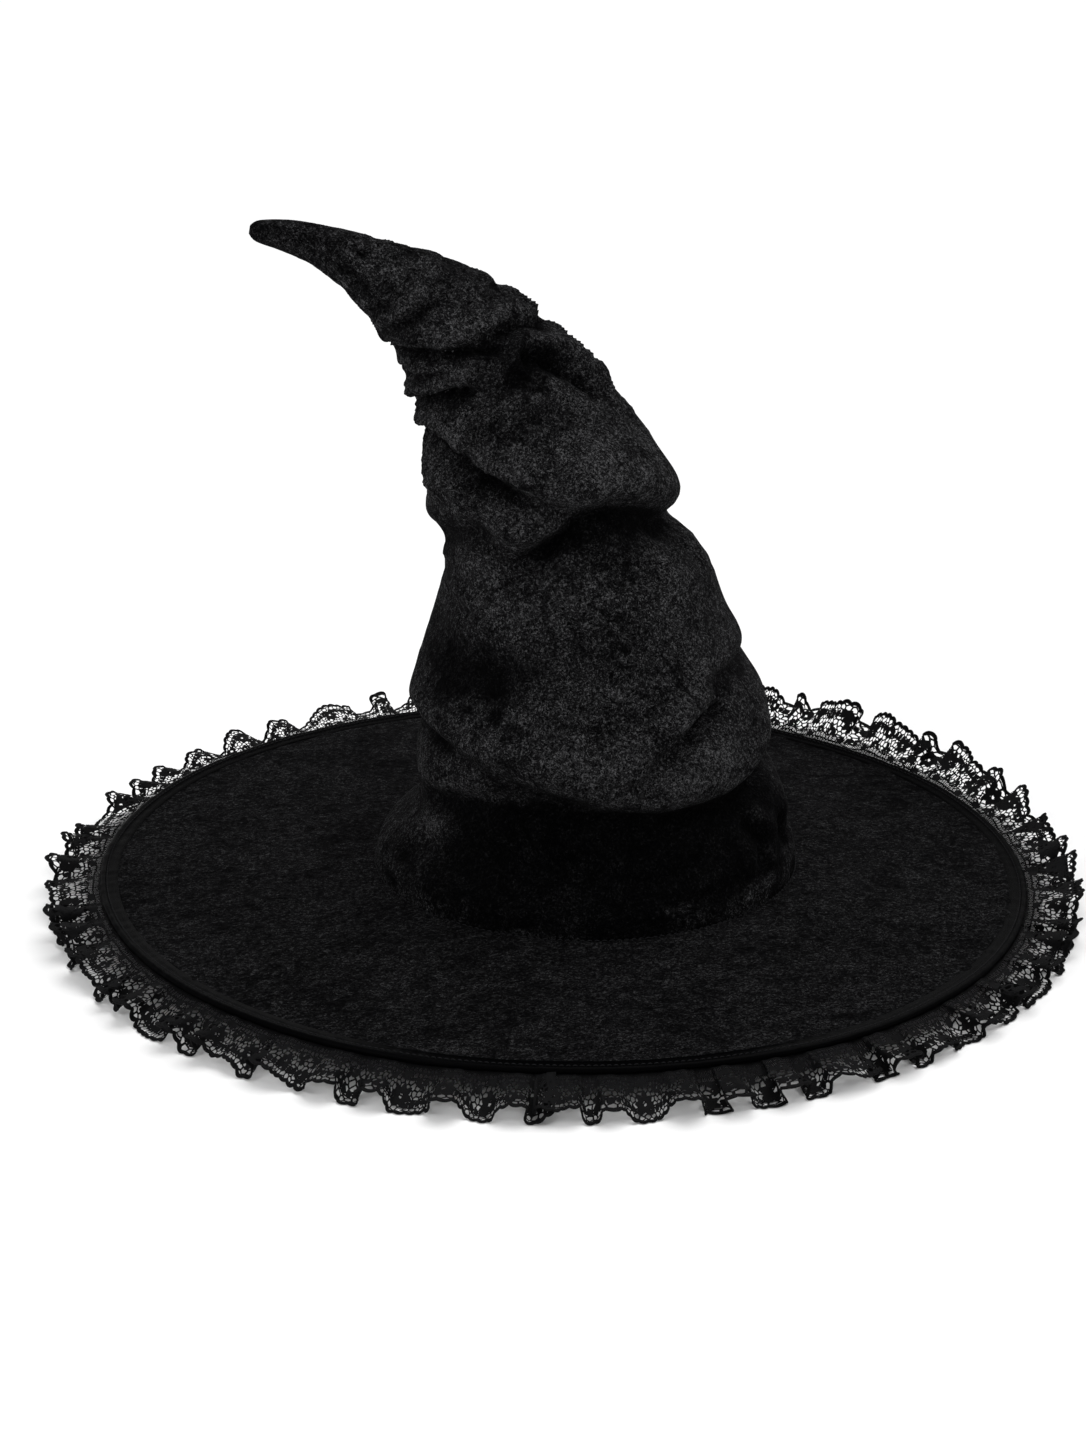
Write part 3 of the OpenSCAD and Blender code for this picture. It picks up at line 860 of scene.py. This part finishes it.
for share in np.linspace(0.05, 0.98, pocketCut["domeRings"]):
    ring = pocketMiddle[-1] + (pocket[-1] - pocketMiddle[-1]) * math.cos(share * math.pi / 2)
    dome.append(ring + np.array([-0.1, 0, 1]) * pocketCut["dome"] * math.sin(share * math.pi / 2))
pocket = np.concatenate([pocket, np.array(dome)])
lining = pointedEnd(pocket[:, ::-1], "crown_lining_pocket")
finishPiece(lining, liningSatin, ["crown_lining"])
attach(lining, "hat_base")
print("crown's inside made")


# The brim: velvet above, foam between, velvet below. Each is a plate from the head opening to the
# edge, and first and last are its faces' depths, as shares of the brim's thickness.
def brimPlate(name, first, last, material, node, rings, columns, hairy=0.0):
    angles = np.arange(columns) * 2 * math.pi / columns
    hole, outer = headRadius + brim["holeGap"], velvetHigh[0] - brim["edgeGap"]
    share = np.linspace(0, 1, rings)[:, None]
    insideX, insideY = crownX + hole * np.cos(angles), hole * np.sin(angles)
    outsideX, outsideY = outer * np.cos(angles), outer * np.sin(angles)
    x = insideX + (outsideX - insideX) * share
    y = insideY + (outsideY - insideY) * share
    top = brimTop(x, y) - first * brimThickness(x, y)
    if hairy:
        top = top + hairy * flatNoise(x, y, 9 * mm, 4 * mm, 71)
        top = top + hairy * flatNoise(x, y, 22 * mm, 15 * mm, 72)
    over = np.stack([x, y, top], -1)
    under = np.stack([x, y, brimTop(x, y) - last * brimThickness(x, y)], -1)[::-1]
    grid = np.concatenate([over, under])
    piece = makeMesh(name, grid, sweptFaces(len(grid), columns)[:, ::-1])
    finishPiece(piece, material, [node])
    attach(piece, "hat_base")
    return piece


brimTopCloth = brimPlate("brim_velvet_top", 0, 0.2, brimVelvet, "brim_top_velvet",
                         110, 512, brim["hairy"])
brimFoam = brimPlate("brim_foam_sheet", 0.26, 0.74, foamCells, "brim_foam", 40, 180)
brimUnderCloth = brimPlate("brim_velvet_under", 0.8, 1, underVelvet, "brim_under_velvet",
                           80, 360, brim["hairyUnder"])
print("brim made")


# The bound edge: a thin roll round the brim, whose two legs lie hidden under the velvet
binding = {
    "legEnd": 7.2,  # how far the turned-in legs reach from the middle of the roll, in mm
    "legHeight": 0.46,  # where they lie between the velvet and the foam, as a share of the roll
    "thick": 0.08,  # the satin, as a share of the roll
    "pucker": 0.2,  # in mm
    "columns": 1200,
    "stitchIn": 1.9 * mm,  # the topstitching, inwards from the middle of the roll
    "stitchUp": 0.8,
}


# Its outline, outwards and up from the middle of the roll, in mm
def bindingSection():
    half, end = bindingHalf / mm, binding["legEnd"]
    leg, thick = binding["legHeight"] * half, binding["thick"] * half
    roll = [(half * 0.97 * math.cos(a), half * math.sin(a)) for a in np.radians(np.arange(-90, 91, 12))]
    upper = [(-0.7, half * 0.95), (-1.25, half * 0.78), (-1.6, leg * 1.2), (-2.1, leg), (-4.5, leg),
             (-end, leg)]
    inner = [(-end, leg - thick), (-4.5, leg - thick), (-1.8, leg - thick), (-1.0, half * 0.6),
             (0.2, half * 0.84), (half * 0.6, half * 0.6), (half * 0.82, 0)]
    lowerInner = [(x, -y) for x, y in inner[-2::-1]]
    lower = [(x, -y) for x, y in upper[::-1]]
    return np.array(roll + upper + inner + lowerInner + lower)


section = bindingSection()
turns = np.arange(binding["columns"]) * 2 * math.pi / binding["columns"]
rollMiddle = brimEdge - bindingHalf
slant = np.stack([np.cos(turns) * 60, np.sin(turns) * 60, np.zeros_like(turns)], -1)
ringPoints = []
for i, (outward, up) in enumerate(section):
    swirl = slant + np.array([outward * 0.12, outward * 0.12, up * 0.25])
    pucker = binding["pucker"] * softNoise(swirl, 81) + 0.5 * binding["pucker"] * softNoise(swirl * 0.25, 82)
    radius = rollMiddle + (outward + 0.6 * pucker) * mm
    height = bindingMid + (up + pucker * np.sign(up)) * mm + edgeLift(turns)
    ringPoints.append(np.stack([radius * np.cos(turns), radius * np.sin(turns), height], -1))
boundEdge = makeMesh("satin_edge_binding", np.array(ringPoints),
                     sweptFaces(len(section), binding["columns"])[:, ::-1])
finishPiece(boundEdge, bindingSatin, ["edge_binding"])
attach(boundEdge, "hat_base")


# A row of short threads that dip into the cloth at both ends
stitch = {
    "share": 0.78,  # the thread's part of each stitch; the rest is the gap
    "sides": 6,
    "rise": np.array([-1.2, -0.2, 0.35, 0.5, 0.35, -0.2, -1.2]),  # along the thread, in thicknesses
    "size": np.array([0.35, 0.85, 1, 1, 1, 0.85, 0.35]),
}


def outwardAt(angle):
    return np.stack([np.cos(angle), np.sin(angle), 0 * angle], -1)


def stitchRow(name, radius, height, pitch, thick, node, middleX=0.0, lift=None):
    count = round(2 * math.pi * radius / pitch)
    share = np.linspace(-0.5, 0.5, len(stitch["rise"]))
    one = gridFaces(len(share), stitch["sides"])
    points, faces = [], []
    for i in range(count):
        start = (i + share * stitch["share"]) * 2 * math.pi / count
        base = np.stack([middleX + radius * np.cos(start), radius * np.sin(start),
                         height + stitch["rise"] * thick + (lift(start) if lift else 0)], -1)
        tube = tubeRings(base, outwardAt(start), (0, 0, 1.0), stitch["size"] * thick, stitch["sides"])
        faces.append(one + len(points) * len(share) * stitch["sides"])
        points.append(tube.reshape(-1, 3))
    piece = makeMesh(name, np.concatenate(points), np.concatenate(faces))
    finishPiece(piece, sewingThread, [node])
    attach(piece, "hat_base")


stitchRow("binding_topstitch", rollMiddle - binding["stitchIn"], bindingMid + bindingHalf * binding["stitchUp"],
          2.9 * mm, 0.26 * mm, "binding_stitches", lift=edgeLift)


# A tube that follows the edge, from one angle to another, either open and hollow or with closed ends
def edgeTube(name, radius, height, thick, first, last, columns, node, hollow=0.0):
    sides = 16
    angles = np.radians(np.linspace(first, last, columns))
    middle = np.stack([radius * np.cos(angles), radius * np.sin(angles), height + edgeLift(angles)], -1)

    def skin(size):
        return tubeRings(middle, outwardAt(angles), (0, 0, 1.0), size, sides)

    if hollow:
        grid = np.concatenate([skin(thick), skin(thick - hollow)[::-1]])
        piece = makeMesh(name, grid, sweptFaces(len(grid), sides))
    else:
        close = np.linspace(0.02, 1, 3)
        starts, ends = [skin(thick * c)[0] for c in close], [skin(thick * c)[-1] for c in close[::-1]]
        grid = np.concatenate([np.array(starts), skin(thick), np.array(ends)])
        piece = gridPiece(name, grid)
    finishPiece(piece, steel, [node])
    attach(piece, "hat_base")


wireLow, wireHigh = nodeBox("edge_wire")
wireThick = (wireHigh[2] - wireLow[2]) / 2
wireHeight = bindingMid + 0.1 * mm
edgeTube("brim_wire", rollMiddle, wireHeight, wireThick, 0.05, 359.0, 720, "edge_wire")
edgeTube("brim_wire_sleeve", rollMiddle, wireHeight, wireThick + 0.34 * mm, -2.2, 2.2, 24,
         "edge_wire_joiner", 0.3 * mm)
print("bound edge made")


# The lace. It is drawn flat, with t along it and w from the heading to the hem, and then
# laid round the brim in flutes.
lace = {
    "width": 32,  # mm
    "length": 2900,
    "flutes": 56,
    "flute": 7.8,  # how far a flute swings up and down at the hem
    "loop": 2.6,  # how far it swings sideways, which makes its ends round
    "cell": 3.5,  # the net
    "thread": 0.95,
    "scallops": 80,
    "cord": 0.5,
    "overlap": 9,  # the ends lie over each other by this much
}
laceLength = lace["length"]
scallop = laceLength / lace["scallops"]


def bump(angle, middle, reach):
    return np.exp(-(((angle - math.radians(middle) + math.pi) % (2 * math.pi) - math.pi) / reach) ** 2)


# Down in front, where the hem rests on the table, and standing up at the back right
def laceDroop(angle):
    frontness = smooth((np.cos(angle + math.pi / 2) + 0.35) / 1.2)
    return np.radians(4 + 13 * frontness - 36 * bump(angle, 55, 0.95) + 9 * bump(angle, 140, 0.7))


def layLace(t, w, lift=0.0):
    share = np.clip(w / lace["width"], 0, 1.15)
    endTurn = lace["overlap"] / (brimEdge / mm)
    turn = -math.pi / 2 - 0.06 + t / laceLength * (2 * math.pi + endTurn)
    mixture = np.stack([np.cos(turn) * 9, np.sin(turn) * 9, 0 * turn], -1)
    drift = 2.6 * softNoise(mixture, 91) + 1.5 * softNoise(mixture * 2.3, 92)
    phase = 2 * math.pi * lace["flutes"] * t / laceLength + drift
    calm = smooth((laceLength - t) / 22) * smooth(t / 10)
    strength = (1 + 0.55 * softNoise(mixture * 1.9, 93)) * (1 - 0.35 * bump(turn, 140, 0.8))
    strength = strength * (0.12 + 0.88 * calm)
    pleat = np.sin(phase * 4 + 1.3 * softNoise(mixture * 3, 94))
    tight = smooth(share * 9)
    wave = np.sin(phase) * strength * lace["flute"] * share ** 1.25 * tight
    wave += pleat * strength * 0.45 * smooth(share * 3) * (1.3 - share)
    wave += 0.8 * np.sin(phase * 2 + 1.0) * share ** 2 * strength
    # the last piece lies over the first
    wave += 1.6 * smooth((t - laceLength + 16) / 6) * tight
    loop = lace["loop"] * np.clip(0.9 + 1.1 * softNoise(mixture * 2.9, 95), 0.4, 1.5)
    wander = -loop * share ** 0.8 * strength * np.sin(2 * phase + 0.35 * np.sin(phase))
    droop = laceDroop(turn)
    out = (w - 3.5) * (0.93 - 0.05 * share * np.cos(2 * phase) * strength)
    root = (bindingMid + edgeLift(turn)) / mm - 1.4
    lean = np.cos(droop)
    up = root - np.sin(droop) * out + (wave + lift) * lean
    out = out * lean + (wave + lift) * np.sin(droop)
    floor = 0.75
    up = floor + np.logaddexp(0, (up - floor) / 0.8) * 0.8
    radius = brimEdge / mm - 1.2 + out
    bearing = turn + wander / radius
    return np.stack([radius * np.cos(bearing), radius * np.sin(bearing), up], -1) * mm


def hemWidth(t):
    place = (t % scallop) / scallop
    main = np.abs(np.sin(math.pi * place)) ** 0.6
    small = np.abs(np.sin(math.pi * place * 6)) ** 0.8
    return lace["width"] - 4.6 + 3.2 * main + 1.4 * small


class LaceDraft:
    # Collects flat four-sided pieces of the lace, and lays them all at once

    def __init__(self):
        self.flat, self.lift = [], []

    def addQuads(self, corners, lift=0.0):
        corners = np.asarray(corners, float).reshape(-1, 2)
        self.flat.append(corners)
        self.lift.append(np.full(len(corners), lift))

    def addRibbons(self, a, b, wide, lift=0.0):
        a, b = np.asarray(a, float), np.asarray(b, float)
        along = b - a
        size = np.maximum(np.linalg.norm(along, axis=-1, keepdims=True), 1e-9)
        along = along / size
        side = np.stack([-along[..., 1], along[..., 0]], -1) * wide / 2
        over = along * wide * 0.3
        self.addQuads(np.stack([a - side - over, b - side + over, b + side + over, a + side - over], -2), lift)

    def piece(self, name, material):
        flat = np.concatenate(self.flat)
        flat[:, 0] = np.clip(flat[:, 0], 0, laceLength)
        laid = layLace(flat[:, 0], flat[:, 1], np.concatenate(self.lift))
        return finishPiece(makeMesh(name, laid, np.arange(len(flat)).reshape(-1, 4)), material)


# Hexagonal net
def drawNet(draft):
    cell = lace["cell"]
    rowsUp = int((lace["width"] - 3) / (cell * 0.866)) + 3
    j, k = np.meshgrid(np.arange(rowsUp), np.arange(int(laceLength / cell)), indexing="ij")
    centre = np.stack([(k + 0.5 * (j % 2)) * cell, 3.5 + j * cell * 0.866], -1).reshape(-1, 2)
    r = cell / math.sqrt(3)
    for first in (30, 90, 150):
        corners = []
        for turn in (first, first + 60):
            turn = math.radians(turn)
            spot = centre + np.array([math.cos(turn), math.sin(turn)]) * r
            wobble = softNoise(np.stack([spot[:, 0] * 1.7, spot[:, 1] * 1.7, 0 * spot[:, 0]], -1), 101)
            corners.append(spot + 0.26 * cell * np.stack([wobble, -wobble], -1))
        a, b = corners
        keep = np.maximum(a[:, 1], b[:, 1]) < hemWidth((a[:, 0] + b[:, 0]) / 2) - 0.2
        draft.addRibbons(a[keep], b[keep], lace["thread"])


# A leaf in quads along its middle line
def petal(root, tip, wide, steps=4):
    root, tip = np.asarray(root, float), np.asarray(tip, float)
    along = tip - root
    side = np.array([-along[1], along[0]]) / max(np.hypot(*along), 1e-9)
    share = np.linspace(0, 1, steps + 1)
    half = wide / 2 * np.maximum(np.sin(math.pi * share ** 0.75), 0.12) ** 0.8
    middle = root + share[:, None] * along
    left, right = middle + side * half[:, None], middle - side * half[:, None]
    return [np.stack([right[i], right[i + 1], left[i + 1], left[i]]) for i in range(steps)]


def flowerQuads(centre, petals, length, wide, turn):
    quads = []
    for i in range(petals):
        a = turn + i * 2 * math.pi / petals
        way = np.array([math.cos(a), math.sin(a)])
        quads += petal(centre + way * 1.1, centre + way * length, wide)
    return quads


# One repeat of the pattern: a flower in each scallop with leaves round it, a fan above it, and
# a smaller flower between the scallops
def drawRepeat(draft, start, index):
    rng = np.random.default_rng(1000 + index)
    middle = start + scallop / 2
    flower = np.array([middle, 20.5 + 0.5 * rng.uniform(-1, 1)])
    turn = rng.uniform(0, 1)
    quads = flowerQuads(flower, 7, 7.0, 4.2, turn)
    small = np.array([start + 0.5, 22.0 + rng.uniform(-0.8, 0.8)])
    quads += flowerQuads(small, 6, 4.6, 3.3, turn + 0.4)
    for side in (-1, 1):
        for k in range(4):
            root = np.array([middle + side * (3.2 + 3.7 * k), 27.0 - 0.7 * k])
            quads += petal(root, root + np.array([side * 2.6, -4.2 - 0.4 * k]), 3.6, 3)
        for k in range(3):
            a = math.radians(15 + 40 * k)
            root = np.array([middle + side * 8.6, 15.0])
            quads += petal(root, root + 5.2 * np.array([side * math.cos(a), -math.sin(a)]), 2.6, 3)
        root = np.array([middle + side * 12.0, 14.0])
        quads += petal(root, root + np.array([side * 4.5, -2.6]), 3.2, 3)
        quads += petal(root, root + np.array([side * 2.4, 4.2]), 2.8, 3)
    for k in range(5):
        a = math.radians(20 + 35 * k)
        root = np.array([middle, 8.6])
        quads += petal(root, root + 4.6 * np.array([math.cos(a), 0.8 * math.sin(a)]), 2.7, 3)
    draft.addQuads(quads, 0.12)


figures = LaceDraft()
drawNet(figures)
for repeat in range(lace["scallops"]):
    drawRepeat(figures, repeat * scallop, repeat)

# Cords that wave along the lace, and the thick band inside the hem
finePlaces = np.arange(0, laceLength, 1.1)
for level, swing, wide, beat in ((23.6, 1.5, 1.0, 1), (11.2, 1.0, 0.8, 2), (8.0, 0.3, 0.9, 1)):
    wave = level + swing * np.sin(2 * math.pi * beat * finePlaces / scallop)
    line = np.stack([finePlaces, wave], -1)
    figures.addRibbons(line[:-1], line[1:], wide, 0.15)
hemLine = np.stack([finePlaces, hemWidth(finePlaces) - 1.0], -1)
figures.addRibbons(hemLine[:-1], hemLine[1:], 1.6, 0.1)

# The dense heading, and the two cut ends, which are turned under
headPlaces = np.arange(0, laceLength, 0.8)
for low, high, gap in ((0.0, 5.0, 0.0), (5.0, 7.6, 0.13), (7.6, 10.2, 0.26), (10.2, 12.4, 0.42)):
    a = np.stack([headPlaces + gap / 2, np.full_like(headPlaces, low)], -1)
    wide, tall = 0.8 - gap, high - low
    figures.addQuads(np.stack([a, a + [wide, 0], a + [wide, tall], a + [0, tall]], 1), 0.05)
for start in (0.0, laceLength - 8):
    t, w = np.meshgrid(start + np.arange(8), np.arange(0, lace["width"] - 2.0, 1.0), indexing="ij")
    a = np.stack([t, w], -1).reshape(-1, 2)
    holes = softNoise(np.stack([a[:, 0] * 0.9, a[:, 1] * 0.9, 0 * a[:, 0]], -1), 111) < 0.45
    a = a[holes]
    figures.addQuads(np.stack([a, a + [1, 0], a + [1, 1], a + [0, 1]], 1), 0.3)
laceCloth = figures.piece("lace_flounce", laceYarn)


# The cord along the scalloped hem, as a round tube
def cordTube(name, flat, thick, sides=5):
    laid = layLace(flat[:, 0], flat[:, 1])
    along = np.gradient(laid, axis=0)
    along /= np.maximum(np.linalg.norm(along, axis=1, keepdims=True), 1e-9)
    across = np.cross(along, np.array([0, 0, 1.0]))
    across /= np.maximum(np.linalg.norm(across, axis=1, keepdims=True), 1e-9)
    up = np.cross(across, along)
    return finishPiece(gridPiece(name, tubeRings(laid, across, up, thick * mm, sides)), laceYarn)


hemPlaces = np.arange(0, laceLength + 0.1, 0.7)
hemCord = cordTube("lace_hem_cord", np.stack([hemPlaces, hemWidth(hemPlaces)], -1), lace["cord"])
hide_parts("lace_ruffle")
for piece in (laceCloth, hemCord):
    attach(piece, "hat_base")
print("lace made")


# The heading tape and its gathering threads, under the edge
def flatRing(name, inner, outer, height, thick, material, node, columns=360):
    angles = np.arange(columns) * 2 * math.pi / columns
    outline = [(inner, 0), (outer, 0), (outer, -thick), (inner, -thick)]
    grid = np.array([np.stack([r * np.cos(angles), r * np.sin(angles), height + z + edgeLift(angles)], -1)
                     for r, z in outline])
    piece = makeMesh(name, grid, sweptFaces(4, columns)[:, ::-1], smoothShade=False)
    finishPiece(piece, material, [node])
    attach(piece, "hat_base")
    return piece


underEdge = bindingMid - bindingHalf
headingTape = flatRing("lace_tape", brimEdge - 11 * mm, brimEdge - 1.6 * mm, underEdge - 0.1 * mm, 0.7 * mm,
                       tapeCloth, "lace_heading_tape")
stitchRow("lace_gathers", brimEdge - 5 * mm, underEdge - 1.0 * mm, 3.4 * mm, 0.25 * mm,
          "lace_gathering_stitches", lift=edgeLift)


# The sweatband: a ribbed ribbon with a turned edge
band = {
    "columns": 360,
    "outline": [(0.0, 1.0), (0.0, 19.0), (0.3, 19.7), (0.7, 20.0), (1.1, 19.6),  # outwards and up, in mm
                (1.2, 18.8), (1.2, 1.0), (0.9, 0.2), (0.4, 0.0), (0.1, 0.3)],
}
bandTurns = np.arange(band["columns"]) * 2 * math.pi / band["columns"]
bandRings = []
for outward, up in band["outline"]:
    radius = headRadius + outward * mm
    bandRings.append(np.stack([crownX + radius * np.cos(bandTurns), radius * np.sin(bandTurns),
                               np.full(band["columns"], sweatLow[2] + up * mm)], -1))
sweat = makeMesh("grosgrain_sweatband", np.array(bandRings), sweptFaces(len(bandRings), band["columns"]))
finishPiece(sweat, ribbon, ["sweatband"])
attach(sweat, "hat_base")


# The cloth under the crown's seam, above the height that the seam has in the middle
def footLift(angle):
    seamRadius = crownRows[0, 2] * mm
    return brimTop(crownX + seamRadius * np.cos(angle), seamRadius * np.sin(angle)) - seamHeight + 0.2 * mm


sewLow, sewHigh = nodeBox("sweatband_stitches")
stitchRow("sweatband_sewing", (sewHigh[0] - sewLow[0]) / 2 - 0.3 * mm, (sewLow[2] + sewHigh[2]) / 2,
          3.2 * mm, 0.25 * mm, "sweatband_stitches", middleX=crownX)
footLow, footHigh = nodeBox("crown_seam_stitches")
stitchRow("crown_seam_sewing", (footHigh[0] - footLow[0]) / 2 - 0.6 * mm, seamHeight + 0.2 * mm,
          3.4 * mm, 0.25 * mm, "crown_seam_stitches", middleX=crownX, lift=footLift)

# The CAD's own pieces that are shown as they are
spineLooks = {
    "spine_wire_lower": steel,
    "spine_wire_middle": steel,
    "spine_wire_tip": steel,
    "spine_anchor": felt,
    "spine_end_cap": felt,
}
for node, material in spineLooks.items():
    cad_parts[node].data.materials.clear()
    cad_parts[node].data.materials.append(material)
# Floor, light and camera
studio = {
    "floorColour": 0.93,
    "worldStrength": 0.52,
    "keyStrength": 1.95,
    "fillPower": 6,
    "floorSize": 6,
    "cameraRise": 20.53,  # degrees above level
    "cameraTarget": (-0.0100, 0, 0.0868),
    "cameraFar": 1.563,
    "lens": 81.15,
}


def makeFloor():
    size = studio["floorSize"]
    corners = [(-size, -size, 0), (size, -size, 0), (size, size, 0), (-size, size, 0)]
    floor = makeMesh("floor", corners, [(0, 1, 2, 3)])
    material, start = newMaterial("pale floor")
    cloud = objectPlace(start).noise(1.5, 2)
    tone = studio["floorColour"]
    surface = start.add("BsdfPrincipled", None, {
        "Base Color": cloud.colour((tone, tone, tone), (tone + 0.01, tone + 0.01, tone + 0.01)),
        "Roughness": 0.9,
        "Specular IOR Level": 0.1,
    })
    endMaterial(start, surface)
    floor.data.materials.append(material)


def makeLight(name, kind, place, target, strength, **settings):
    data = bpy.data.lights.new(name, kind)
    data.energy = strength
    for key, value in settings.items():
        setattr(data, key, value)
    light = bpy.data.objects.new(name, data)
    bpy.context.scene.collection.objects.link(light)
    light.location = place
    light.rotation_mode = "QUATERNION"
    light.rotation_quaternion = (Vector(target) - Vector(place)).to_track_quat("-Z", "Y")


def makeStudio():
    world = bpy.data.worlds.new("studio")
    bpy.context.scene.world = world
    world.use_nodes = True
    world.node_tree.nodes["Background"].inputs["Color"].default_value = (1, 1, 1, 1)
    world.node_tree.nodes["Background"].inputs["Strength"].default_value = studio["worldStrength"]
    makeLight("key", "SUN", (0.45, 0.25, 1.5), (0, 0, 0.1), studio["keyStrength"], angle=math.radians(60))
    makeLight("fill", "AREA", (-0.9, -1.1, 0.9), (0, 0, 0.12), studio["fillPower"], shape="DISK", size=0.8)


def makeCamera():
    data = bpy.data.cameras.new("camera")
    camera = bpy.data.objects.new("camera", data)
    bpy.context.scene.collection.objects.link(camera)
    bpy.context.scene.camera = camera
    rise = math.radians(studio["cameraRise"])
    back = Vector((0, -math.cos(rise), math.sin(rise)))
    camera.location = Vector(studio["cameraTarget"]) + back * studio["cameraFar"]
    camera.rotation_mode = "QUATERNION"
    camera.rotation_quaternion = (-back).to_track_quat("-Z", "Y")
    data.sensor_width = 36
    data.lens = studio["lens"]
    data.clip_start, data.clip_end = 0.05, 30


makeFloor()
makeStudio()
makeCamera()
bpy.context.scene.view_settings.view_transform = "Standard"
bpy.context.scene.view_settings.look = "None"
print("studio made")
